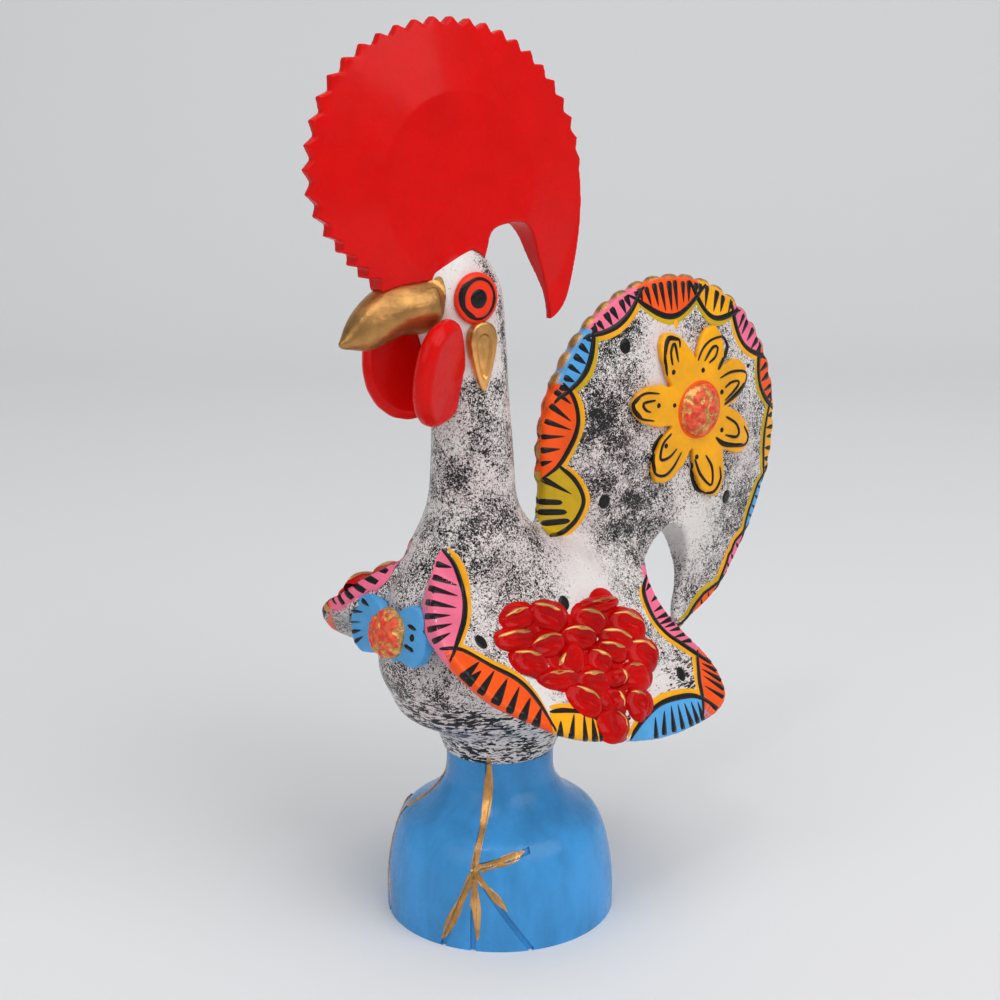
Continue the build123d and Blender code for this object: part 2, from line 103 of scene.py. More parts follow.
# Colours of the paints
white = (0.83, 0.785, 0.755)
black = (0.008, 0.007, 0.008)
red = (0.68, 0.003, 0.002)
berry_red = (0.56, 0.001, 0.001)
blue = (0.055, 0.315, 0.70)
sky = (0.090, 0.390, 0.78)
pink = (0.930, 0.170, 0.300)
orange = (0.970, 0.095, 0.004)
yellow = (0.960, 0.420, 0.004)
ochre = (0.620, 0.390, 0.004)
gold = (0.470, 0.240, 0.075)
eye_red = (0.930, 0.035, 0.005)


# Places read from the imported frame
def centre(node):
    low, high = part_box(node)
    return (low + high) / 2


neck_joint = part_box("base")[1].z
petal_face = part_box("tail_flower_left")[0].y
boss_middle = centre("tail_flower_boss_left")
chest_middle = centre("chest_flower_boss")
eye_middle = centre("eye_left")


# Shader helper
class Shader:
    """A node material whose patterns lie in object space, in metres."""

    def __init__(self, name):
        self.material = bpy.data.materials.new(name)
        self.material.use_nodes = True
        self.tree = self.material.node_tree
        self.surface = self.tree.nodes["Principled BSDF"]
        self.place = self.tree.nodes.new("ShaderNodeTexCoord").outputs["Object"]

    def link(self, source, target):
        self.tree.links.new(source, target)

    def fill(self, socket, value):
        if isinstance(value, bpy.types.NodeSocket):
            self.link(value, socket)
        elif hasattr(value, "__len__") and len(value) == 3:
            socket.default_value = (*value, 1.0)
        else:
            socket.default_value = value

    def stretched(self, stretch):
        node = self.tree.nodes.new("ShaderNodeMapping")
        self.link(self.place, node.inputs["Vector"])
        node.inputs["Scale"].default_value = stretch
        return node.outputs["Vector"]

    def noise(self, scale, detail=2.0, roughness=0.5, stretch=None, distortion=0.0):
        node = self.tree.nodes.new("ShaderNodeTexNoise")
        self.link(self.stretched(stretch) if stretch else self.place, node.inputs["Vector"])
        node.inputs["Scale"].default_value = scale
        node.inputs["Detail"].default_value = detail
        node.inputs["Roughness"].default_value = roughness
        node.inputs["Distortion"].default_value = distortion
        return node.outputs["Fac"]

    def attribute(self, name, output="Fac"):
        node = self.tree.nodes.new("ShaderNodeAttribute")
        node.attribute_name = name
        return node.outputs[output]

    def spread(self, value, low, high, to_low=0.0, to_high=1.0):
        node = self.tree.nodes.new("ShaderNodeMapRange")
        settings = (value, low, high, to_low, to_high)
        for socket, setting in zip(node.inputs, settings):
            self.fill(socket, setting)
        return node.outputs["Result"]

    def maths(self, operation, first, second=0.0):
        node = self.tree.nodes.new("ShaderNodeMath")
        node.operation = operation
        self.fill(node.inputs[0], first)
        self.fill(node.inputs[1], second)
        return node.outputs["Value"]

    def mix(self, share, first, second):
        node = self.tree.nodes.new("ShaderNodeMix")
        node.data_type = "RGBA"
        self.fill(node.inputs["Factor"], share)
        self.fill(node.inputs["A"], first)
        self.fill(node.inputs["B"], second)
        return node.outputs["Result"]

    def mix_value(self, share, first, second):
        node = self.tree.nodes.new("ShaderNodeMix")
        self.fill(node.inputs["Factor"], share)
        self.fill(node.inputs["A"], first)
        self.fill(node.inputs["B"], second)
        return node.outputs["Result"]

    def bump(self, height, distance):
        node = self.tree.nodes.new("ShaderNodeBump")
        node.inputs["Distance"].default_value = distance
        self.link(height, node.inputs["Height"])
        self.link(node.outputs["Normal"], self.surface.inputs["Normal"])

    def set(self, name, value):
        self.fill(self.surface.inputs[name], value)


def shade(colour, share):
    return tuple(channel * share for channel in colour)


def enamel(name, colour, shine=0.2, deep=0.82, streak=None, waves=0.22 * mm, gloss=0.2):
    """Glossy brushed enamel: cloudy colour, soft waves, uneven shine and small worn specks."""
    shader = Shader(name)
    cloud = shader.noise(75, 3, 0.6, streak)
    tone = shader.mix(shader.spread(cloud, 0.35, 0.65), shade(colour, deep), shade(colour, 1.08))
    wear = shader.spread(shader.noise(900, 2, 0.6), 0.71, 0.76, 0.0, 0.5)
    shader.set("Base Color", shader.mix(wear, tone, shade(colour, 0.45)))
    shader.set("Roughness", shader.spread(shader.noise(140, 3), 0.3, 0.7, shine, shine + 0.14))
    shader.bump(shader.maths("ADD", shader.noise(110, 2), shader.noise(420, 2)), waves)
    shader.set("Specular IOR Level", gloss)
    shader.set("Coat Weight", 0.1)
    shader.set("Coat Roughness", 0.08)
    return shader.material


def gilding(name, colour, streak):
    """Satin gold paint with brush streaks, darker where it is rubbed."""
    shader = Shader(name)
    brushed = shader.noise(260, 4, 0.7, streak)
    cloud = shader.noise(90, 3, 0.6)
    tone = shader.mix(shader.spread(cloud, 0.35, 0.65), shade(colour, 0.62), shade(colour, 1.25))
    tone = shader.mix(shader.spread(brushed, 0.5, 0.75, 0.0, 0.5), tone, shade(colour, 0.4))
    shader.set("Base Color", tone)
    shader.set("Metallic", 0.85)
    shader.set("Roughness", shader.spread(brushed, 0.3, 0.7, 0.26, 0.46))
    shader.bump(shader.maths("ADD", brushed, shader.noise(120, 2)), 0.3 * mm)
    return shader.material


speckle_grain, smear_grain, thread_grain = 1250, 760, 800
blush_tone = (0.76, 0.66, 0.655)
thread_tone = (0.07, 0.065, 0.07)


def sponged_glaze():
    """White glaze with a black sponged speckle, painted rims and gilded bumps."""
    shader = Shader("sponged_glaze")
    grain = shader.noise(speckle_grain, 4, 0.65, distortion=1.4)
    smeared = shader.noise(smear_grain, 3, 0.6, (0.4, 0.4, 1.5), distortion=0.9)
    stipple = shader.mix_value(shader.attribute("smear"), grain, smeared)
    cloud = shader.spread(shader.noise(95, 3, 0.6), 0.38, 0.64, 0.55, 1.05)
    cover = shader.maths("MULTIPLY", shader.attribute("speckle"), cloud)
    edge = shader.maths("MULTIPLY_ADD", cover, -0.28)
    edge.node.inputs[2].default_value = 0.655
    margin = shader.maths("SUBTRACT", stipple, edge)
    ink = shader.spread(margin, 0.0, 0.018)
    thread = shader.noise(thread_grain, 1, 0.5, distortion=1.2)
    thread = shader.maths("ABSOLUTE", shader.maths("SUBTRACT", thread, 0.5))
    thread = shader.spread(thread, 0.004, 0.022, 1.0, 0.0)
    bunch = shader.spread(shader.noise(330, 2, 0.5), 0.62, 0.46, 0.0, 0.8)
    bunch = shader.maths("MULTIPLY", bunch, shader.spread(cover, 0.15, 0.7))
    thread = shader.maths("MULTIPLY", thread, bunch)
    blush = shader.mix(shader.spread(shader.noise(38, 2), 0.4, 0.65), white, blush_tone)
    tone = shader.mix(thread, blush, thread_tone)
    tone = shader.mix(ink, tone, black)
    tone = shader.mix(shader.attribute("rim_share"), tone, shader.attribute("rim_paint", "Color"))
    rub = shader.noise(300, 3, 0.6)
    gilt = shader.mix(shader.spread(rub, 0.35, 0.65), shade(gold, 0.7), shade(gold, 1.5))
    gilded = shader.attribute("gilding")
    shader.set("Base Color", shader.mix(gilded, tone, gilt))
    shader.set("Metallic", shader.maths("MULTIPLY", gilded, 0.8))
    shader.set("Roughness", shader.spread(shader.noise(160, 3), 0.3, 0.7, 0.2, 0.34))
    shader.bump(shader.maths("ADD", shader.noise(95, 2), grain), 0.2 * mm)
    shader.set("Specular IOR Level", 0.28)
    shader.set("Coat Weight", 0.1)
    shader.set("Coat Roughness", 0.1)
    return shader.material


def grainy_boss():
    """Rough clay grains in orange red, with gold brushed on the clay between them."""
    shader = Shader("grainy_boss")
    ragged = shader.spread(shader.noise(420, 2), 0.3, 0.7, -0.2, 0.2)
    patch = shader.spread(shader.maths("ADD", shader.attribute("grain"), ragged), 0.5, 0.64, 1.0, 0.0)
    tone = shader.mix(shader.spread(shader.noise(500, 2), 0.4, 0.6), (0.74, 0.03, 0.01), (0.9, 0.12, 0.03))
    gilt = shader.mix(shader.spread(shader.noise(600, 2), 0.4, 0.6), shade(gold, 1.2), shade(gold, 2.0))
    shader.set("Base Color", shader.mix(patch, tone, gilt))
    shader.set("Metallic", shader.maths("MULTIPLY", patch, 0.75))
    shader.set("Roughness", shader.spread(shader.noise(300, 2), 0.3, 0.7, 0.22, 0.42))
    shader.bump(shader.noise(620, 3, 0.6), 0.8 * mm)
    return shader.material


glazes = {
    "speckled": sponged_glaze(),
    "blue": enamel("blue_glaze", blue, 0.2, 0.8, (1.0, 1.0, 0.35), 0.14 * mm),
    "sky": enamel("sky_paint", sky, 0.24, 0.85),
    "red": enamel("red_gloss", red, 0.2, 0.97, waves=0.05 * mm, gloss=0.1),
    "berry": enamel("berry_gloss", berry_red, 0.1, 0.7, waves=0.3 * mm, gloss=0.08),
    "bright_gold": gilding("bright_gold", shade(gold, 1.7), (1.0, 1.0, 0.5)),
    "eye": enamel("eye_paint", eye_red, 0.24, 0.9),
    "yellow": enamel("yellow_paint", yellow, 0.26, 0.86),
    "ochre": enamel("ochre_paint", ochre, 0.26, 0.86),
    "orange": enamel("orange_paint", orange, 0.26, 0.86),
    "pink": enamel("pink_paint", pink, 0.26, 0.88),
    "black": enamel("black_paint", black, 0.22, 0.7),
    "gold": gilding("gold_paint", gold, (1.0, 1.0, 0.3)),
    "beak_gold": gilding("beak_gold", shade(gold, 1.1), (0.35, 1.0, 0.8)),
    "boss": grainy_boss(),
}


# Mesh helpers
def finish_piece(name, mesh, glaze):
    """A smooth shaded piece of the rooster in one glaze."""
    mesh.shade_smooth()
    mesh.materials.clear()
    mesh.materials.append(glazes[glaze])
    piece = bpy.data.objects.new(name, mesh)
    scene.collection.objects.link(piece)
    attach(piece, "root")
    return piece


def set_values(mesh, name, values):
    layer = mesh.attributes.new(name, "FLOAT", "POINT")
    layer.data.foreach_set("value", values.astype(np.float32))


def joined(nodes):
    """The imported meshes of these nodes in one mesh."""
    clay = bmesh.new()
    for node in nodes:
        clay.from_mesh(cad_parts[node].data)
    bmesh.ops.remove_doubles(clay, verts=clay.verts, dist=weld_gap)
    mesh = bpy.data.meshes.new("joined")
    clay.to_mesh(mesh)
    clay.free()
    return mesh


def remeshed(mesh, voxel):
    """The same form in one closed net of even quads."""
    holder = bpy.data.objects.new("holder", mesh)
    scene.collection.objects.link(holder)
    net = holder.modifiers.new("net", "REMESH")
    net.mode = "VOXEL"
    net.voxel_size = voxel
    graph = bpy.context.evaluated_depsgraph_get()
    result = bpy.data.meshes.new_from_object(holder.evaluated_get(graph))
    bpy.data.objects.remove(holder)
    bpy.data.meshes.remove(mesh)
    return result


def points_of(mesh):
    flat = np.zeros(len(mesh.vertices) * 3)
    mesh.vertices.foreach_get("co", flat)
    return flat.reshape(-1, 3)


def edges_of(mesh):
    flat = np.zeros(len(mesh.edges) * 2, int)
    mesh.edges.foreach_get("vertices", flat)
    return flat.reshape(-1, 2)


def relax(mesh, rounds, weight=None):
    """Smooths the net; weight is each point's share of the move."""
    points = points_of(mesh)
    ends = edges_of(mesh)
    ends = np.concatenate([ends, ends[:, ::-1]])
    count = len(points)
    degree = np.bincount(ends[:, 0], minlength=count)
    share = 0.5 if weight is None else 0.5 * weight(points)[:, None]
    for _ in range(rounds):
        sums = [np.bincount(ends[:, 0], points[ends[:, 1], axis], count) for axis in range(3)]
        points = points + share * (np.stack(sums, 1) / degree[:, None] - points)
    mesh.vertices.foreach_set("co", points.ravel())
    mesh.update()


def soften(name, nodes, glaze, voxel, rounds, weight=None):
    """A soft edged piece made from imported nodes, which it replaces."""
    mesh = remeshed(joined(nodes), voxel)
    relax(mesh, rounds, weight)
    piece = finish_piece(name, mesh, glaze)
    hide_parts(*nodes)
    return piece


def surface_tree(pieces):
    """One search tree over the faces of several pieces."""
    points = []
    faces = []
    for piece in pieces:
        start = len(points)
        points.extend(vertex.co.copy() for vertex in piece.data.vertices)
        faces.extend([start + index for index in face.vertices] for face in piece.data.polygons)
    return BVHTree.FromPolygons(points, faces)


# Camera first: paint places are read from the photograph through it
def make_camera():
    turn = math.radians(camera_azimuth)
    data = bpy.data.cameras.new("camera")
    data.lens = camera_lens
    data.sensor_width = sensor_width
    camera = bpy.data.objects.new("camera", data)
    camera.location = (
        camera_distance * math.sin(turn),
        -camera_distance * math.cos(turn),
        camera_height,
    )
    camera.rotation_euler = (math.radians(90 - camera_pitch), 0, turn)
    scene.collection.objects.link(camera)
    scene.camera = camera
    bpy.context.view_layer.update()
    return camera


camera = make_camera()
upward = Vector((0, 0, 1))
focal_pixels = camera_lens / sensor_width * photo_pixels


def pixel_ray(pixel):
    """Start and direction of the line of sight through a pixel of the photograph."""
    across = (pixel[0] - photo_pixels / 2) / focal_pixels
    down = (pixel[1] - photo_pixels / 2) / focal_pixels
    direction = camera.matrix_world.to_3x3() @ Vector((across, -down, -1))
    return camera.location.copy(), direction.normalized()


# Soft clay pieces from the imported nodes
def skin_weight(points):
    """Full smoothing but for the seat on the base."""
    return np.clip((points[:, 2] - neck_joint - seat_margin) / seat_fade, 0, 1)


def eased(share):
    share = np.clip(share, 0, 1)
    return share * share * (3 - 2 * share)


def bend_far_wing(points):
    """The far wing's front hangs a little higher and further forward than the near one's."""
    bent = np.array([tuple(point) for point in points], float)
    share = eased((bent[:, 1] - far_bend_from) / far_bend_run)
    front = eased((far_bend_back - bent[:, 0]) / far_bend_length)
    share *= front * eased((far_bend_top - bent[:, 2]) / far_bend_fade)
    bent[:, 0] -= far_bend_forward * share
    bent[:, 2] += far_bend_lift * share
    return bent


skin = soften("skin", ["body", "tail", "wing_left", "wing_right"], "speckled", skin_voxel, 14, skin_weight)
skin.data.vertices.foreach_set("co", bend_far_wing(points_of(skin.data)).ravel())
skin.data.update()
soft_pieces = {
    "comb": soften("comb", ["comb"], "red", fine_voxel, 3),
    "beak": soften("beak", ["beak"], "beak_gold", fine_voxel, 5),
    "chest_flower": soften("chest_flower", ["chest_flower"], "sky", fine_voxel, 10),
}
for side in ("left", "right"):
    for node, glaze, rounds in (
        ("wattle", "red", 10),
        ("eye", "eye", 4),
        ("ear_lobe", "bright_gold", 4),
        ("tail_flower", "yellow", 9),
    ):
        name = node + "_" + side
        soft_pieces[name] = soften(name, [name], glaze, fine_voxel, rounds)
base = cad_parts["base"]
base.data.materials.clear()
base.data.materials.append(glazes["blue"])
ground = surface_tree([skin, base, *soft_pieces.values()])
skin_tree = surface_tree([skin])


def turns(count):
    """The angles of a closed ring, its first one again at the end."""
    return [2 * math.pi * index / count for index in range(count + 1)]


def dome_faces(rings, spokes):
    """Faces between the rings of a round lump, from its top outwards."""
    faces = []
    for ring in range(rings):
        row = ring * spokes
        for spoke in range(spokes):
            after = (spoke + 1) % spokes
            faces.append((row + spoke, row + spokes + spoke, row + spokes + after, row + after))
    return faces


def flipped(faces):
    return [tuple(reversed(face)) for face in faces]


# Paint: strips of faces that lie on the clay, sunk into it along both edges
def strip_faces(rows):
    """Points and faces of a net of rows of equal length."""
    width = len(rows[0])
    faces = []
    for row in range(len(rows) - 1):
        for place in range(width - 1):
            corner = row * width + place
            faces.append((corner, corner + 1, corner + width + 1, corner + width))
    return [point for row in rows for point in row], faces


def gathered(chunks):
    """Points and faces of several nets in one."""
    points = []
    faces = []
    for chunk_points, chunk_faces in chunks:
        start = len(points)
        points.extend(chunk_points)
        faces.extend(tuple(start + index for index in face) for face in chunk_faces)
    return points, faces


class Paint:
    """Strips of one colour on one part of the rooster."""

    pots = {}

    def __init__(self, name, glaze):
        self.name = name
        self.glaze = glaze
        self.strips = []
        Paint.pots[name] = self

    @classmethod
    def pot(cls, part, glaze):
        name = "paint_" + part + "_" + glaze
        return cls.pots.get(name) or cls(name, glaze)

    def add(self, rows):
        self.strips.append(strip_faces(rows))

    def net(self):
        return gathered(self.strips)


def on_clay(point, lift, tree=None):
    """The nearest place on the clay, raised by lift."""
    place, outward, _, _ = (tree or ground).find_nearest(point)
    return place + outward * lift


def nearest_clay(place):
    """The nearest place on the clay and its outward direction."""
    on, outward, _, _ = ground.find_nearest(place)
    return on, outward


def from_photo(pixels):
    """Places on the clay under these pixels of the photograph."""
    places = []
    depth = camera_distance
    for pixel in pixels:
        start, direction = pixel_ray(pixel)
        place, _, _, distance = ground.ray_cast(start, direction)
        if place is not None and (not places or abs(distance - depth) < sight_leap):
            depth = distance
        else:
            place = ground.find_nearest(start + direction * depth)[0]
        places.append(place)
    return places


def from_side(pairs):
    """Places on the left face of the rooster at these x and z."""
    inward = Vector((0, 1, 0))
    places = []
    for x, z in pairs:
        start = Vector((x, -side_start, z))
        place, _, _, distance = ground.ray_cast(start, inward)
        if place is None or abs(distance - side_depth) > side_leap:
            place = ground.find_nearest(start + inward * side_depth)[0]
        places.append(place)
    return places


def curve(points, count):
    """A smooth line through given points, resampled evenly by number."""
    if len(points) == 2:
        shares = np.linspace(0, 1, count)
        first, last = (np.array(point, float) for point in points)
        return [tuple(first + (last - first) * share) for share in shares]
    knots = np.array([points[0], *points, points[-1]], float)
    knots[0] = 2 * knots[1] - knots[2]
    knots[-1] = 2 * knots[-2] - knots[-3]
    result = []
    for share in np.linspace(0, len(points) - 1, count):
        index = min(int(share), len(points) - 2)
        t = share - index
        back, here, ahead, beyond = knots[index : index + 4]
        slope = (ahead - back) * t
        square = (2 * back - 5 * here + 4 * ahead - beyond) * t * t
        cube = (3 * here - 3 * ahead + beyond - back) * t**3
        result.append(tuple(0.5 * (2 * here + slope + square + cube)))
    return result


def length_of(places):
    return sum((after - before).length for before, after in zip(places, places[1:]))


def spaced(places, count):
    """The same line with this number of evenly spaced points."""
    walked = [0.0]
    for before, after in zip(places, places[1:]):
        walked.append(walked[-1] + (after - before).length)
    flat = np.array([list(place) for place in places])
    marks = np.linspace(0, walked[-1], count)
    columns = [np.interp(marks, walked, flat[:, axis]) for axis in range(3)]
    return [Vector(point) for point in zip(*columns)]


def even(places, step):
    """The same line with points at even steps."""
    return spaced(places, max(3, int(length_of(places) / step) + 1))


def traced(pixels):
    """Places under a line of pixels, up to where the line runs off the clay."""
    places = from_photo(pixels)
    kept = [places[0]]
    for place in places[1:]:
        if (place - kept[-1]).length > line_leap:
            break
        kept.append(place)
    if len(kept) == 1:
        kept.append(kept[0] + upward * shortest_line)
    return kept


# Places across a strip of paint, as shares of its half width
across_shares = (-1.0, -0.86, 0.0, 0.86, 1.0)
fine_shares = (-1.0, *np.linspace(-0.94, 0.94, 17).tolist(), 1.0)


def edge_height(across, lift):
    """Paint lies on the clay, and its two edges sink into it."""
    return -paint_sink if abs(across) == 1 else lift


def strip(part, glaze, places, half_at, lift, foot=nearest_clay, lay=on_clay, shares=across_shares):
    """Paint along places; half_at gives half its width at a share of its length."""
    line = even(places, paint_step)
    rows = []
    for index, place in enumerate(line):
        before = line[max(index - 1, 0)]
        after = line[min(index + 1, len(line) - 1)]
        on, outward = foot(place)
        side = outward.cross(after - before).normalized()
        half = half_at(index / (len(line) - 1))
        rows.append([lay(on + side * half * across, edge_height(across, lift)) for across in shares])
    Paint.pot(part, glaze).add(rows)


def stroke(part, glaze, places, width, lift=line_lift, ends=(0.25, 0.25), swell=0.12, **ways):
    """A brush stroke along places; it narrows to a share of its width at each end."""
    wander = dice.random() * 6

    def half_at(share):
        taper = min(
            1,
            ends[0] + (1 - ends[0]) * math.sqrt(min(1, share * 5)),
            ends[1] + (1 - ends[1]) * math.sqrt(min(1, (1 - share) * 5)),
        )
        return width / 2 * taper * (1 + swell * math.sin(wander + share * 9))

    strip(part, glaze, places, half_at, lift, **ways)


def wedge(part, glaze, places, width):
    """A wedge stroke along places, broad at its start and pointed at its end."""

    def half_at(share):
        return width / 2 * (min(1, 0.6 + 4 * share) * (1 - share) ** 0.75 + 0.06)

    strip(part, glaze, places, half_at, wedge_lift)


def fill(part, glaze, first, second):
    """A coat between two lines of equal count."""
    pairs = list(zip(first, second))
    steps = max(2, int(max((here - there).length for here, there in pairs) / paint_step))
    rows = []
    for here, there in pairs:
        rows.append([on_clay(here.lerp(there, step / steps), fill_lift) for step in range(steps + 1)])
    Paint.pot(part, glaze).add(rows)


def wedge_profile(share):
    """Width of a wedge at a share of its length from its broad end."""
    return min(1, 0.7 + 3 * share) * (1 - share) ** 0.75 + 0.05


def bar_profile(share):
    """Width of a bar with round ends at a share of its length."""
    return max(0.0, 1 - abs(2 * share - 1) ** 5) ** 0.5 * (1 - 0.15 * share)


def photo_mark(part, glaze, start, end, width, profile=wedge_profile, lift=wedge_lift):
    """A mark between two pixels, with its width in pixels as the camera sees it."""
    first, last = Vector(start), Vector(end)
    run = last - first
    side = Vector((-run.y, run.x)).normalized()
    rows = []
    for share in np.linspace(1, 0, 16):
        middle = first + run * float(share)
        half = width / 2 * profile(float(share))
        pixels = [tuple(middle + side * half * across) for across in (0.0, *across_shares)]
        places = from_photo(pixels)[1:]
        if rows and (places[2] - rows[-1][2]).length > row_leap:
            break
        rows.append([on_clay(at, edge_height(across, lift)) for at, across in zip(places, across_shares)])
    Paint.pot(part, glaze).add(rows)


def photo_coat(part, glaze, rim_pixels, arc_pixels):
    """A coat between two lines of pixels; gives back its places on the rim."""
    rows = []
    rim = []
    last = None
    for rim_pixel, arc_pixel in zip(rim_pixels, arc_pixels):
        places = traced(curve([arc_pixel, rim_pixel], 16))
        if last is None or (places[0] - last[0]).length < row_leap:
            last = places
            rows.append([on_clay(place, fill_lift) for place in spaced(places, 18)])
        rim.append(last[-1])
    Paint.pot(part, glaze).add(rows)
    return rim


def dot(part, glaze, place, wide, high, lift=line_lift):
    """An oval blob of paint."""
    on, outward, _, _ = ground.find_nearest(place)
    side = upward.cross(outward).normalized()
    rise = outward.cross(side)
    rows = []
    for ring in (0.01, 0.5, 0.88, 1.0):
        height = edge_height(ring, lift)
        row = []
        for angle in turns(24):
            offset = side * (wide * math.cos(angle)) + rise * (high * math.sin(angle))
            row.append(on_clay(on + offset * ring, height))
        rows.append(row)
    Paint.pot(part, glaze).add(rows)


# Scallops round the tail: start and end turn in degrees round the tail's centre, depth in mm, colour
# and number of black wedges
tail_middle = Vector((0.0735, 0, 0.1555))
tail_scallops = [
    (-82, -60, 4.5, "orange", 5),
    (-61, -42, 5.0, "pink", 5),
    (-43, -19, 5.5, "sky", 6),
    (-20, 8.5, 7.5, "yellow", 7),
    (8, 29.5, 9.5, "orange", 5),
    (29, 53, 10.8, "pink", 6),
    (53, 76, 12.2, "yellow", 5),
    (74, 105.5, 14.6, "orange", 9),
    (104.5, 130.5, 8.5, "pink", 7),
    (130, 155.5, 8.8, "sky", 6),
]
tail_overlap_turn = 3.5
tail_rim_inset = 0.1 * mm


def tail_rim_reach():
    """The outer line of the tail: its reach at each degree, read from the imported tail."""
    points = points_of(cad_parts["tail"].data) - np.array(tail_middle)
    reach = np.hypot(points[:, 0], points[:, 2])
    turn = np.degrees(np.arctan2(points[:, 2], points[:, 0])) % 360
    table = np.zeros(360)
    for degree in range(360):
        near = np.abs((turn - degree + 180) % 360 - 180) < 4
        table[degree] = reach[near].max()
    return table


tail_reach = tail_rim_reach()
tail_root_turn = 188
tail_root_reach = tail_reach[tail_root_turn]


def tail_pair(turn, inset):
    """x and z on the tail at this turn, inset from its rim."""
    reach = tail_root_reach if tail_root_turn < turn % 360 < 250 else tail_reach[int(turn) % 360]
    reach = reach - inset
    angle = math.radians(turn)
    return (
        tail_middle.x + reach * math.cos(angle),
        tail_middle.z + reach * math.sin(angle),
    )


def scallop_rise(share):
    """Depth of a scallop's arc at a share of its length."""
    return math.sin(math.pi * share) ** 0.7


def paint_tail_scallop(start, end, depth, glaze, wedges):
    """Coat, black wedges, black arc and ochre band of one scallop."""
    count = 15
    shares = [index / (count - 1) for index in range(count)]
    rim_turns = [start + (end - start) * share for share in shares]
    rims = from_side([tail_pair(turn, tail_rim_inset) for turn in rim_turns])
    long_start = start - tail_overlap_turn
    long_turn = end - start + 2 * tail_overlap_turn
    arc_turns = [long_start + long_turn * share for share in shares]
    insets = [tail_rim_inset + depth * mm * scallop_rise(share) for share in shares]
    arc = from_side([tail_pair(turn, inset) for turn, inset in zip(arc_turns, insets)])
    inner = []
    for turn in rim_turns:
        rise = scallop_rise((turn - long_start) / long_turn)
        inner.append(tail_pair(turn, tail_rim_inset + depth * mm * rise))
    coat = from_side(inner)
    fill("tail", glaze, rims, coat)
    places = list(zip(arc_turns, insets))[1:-1]
    band = from_side([tail_pair(turn, inset + band_width * 0.75) for turn, inset in places])
    stroke("tail", "ochre" if glaze != "pink" else "yellow", band, band_width, band_lift)
    stroke("tail", "black", arc, line_width * (1.1 if depth > 8 else 0.7), line_lift)
    for index in range(wedges):
        share = (index + 0.5 + dice.uniform(-0.12, 0.12)) / wedges
        place = share * (count - 1)
        near = min(int(place), count - 2)
        part = place - near
        outer = rims[near].lerp(rims[near + 1], part)
        tip = coat[near].lerp(coat[near + 1], part)
        first = outer.lerp(tip, 0.02)
        last = outer.lerp(tip, dice.uniform(0.72, 0.9))
        width = wedge_width * dice.uniform(1.0, 1.45) * min(1, depth / 8)
        wedge("tail", "black", [first, first.lerp(last, 0.5), last], width)


for scallop in tail_scallops:
    paint_tail_scallop(*scallop)

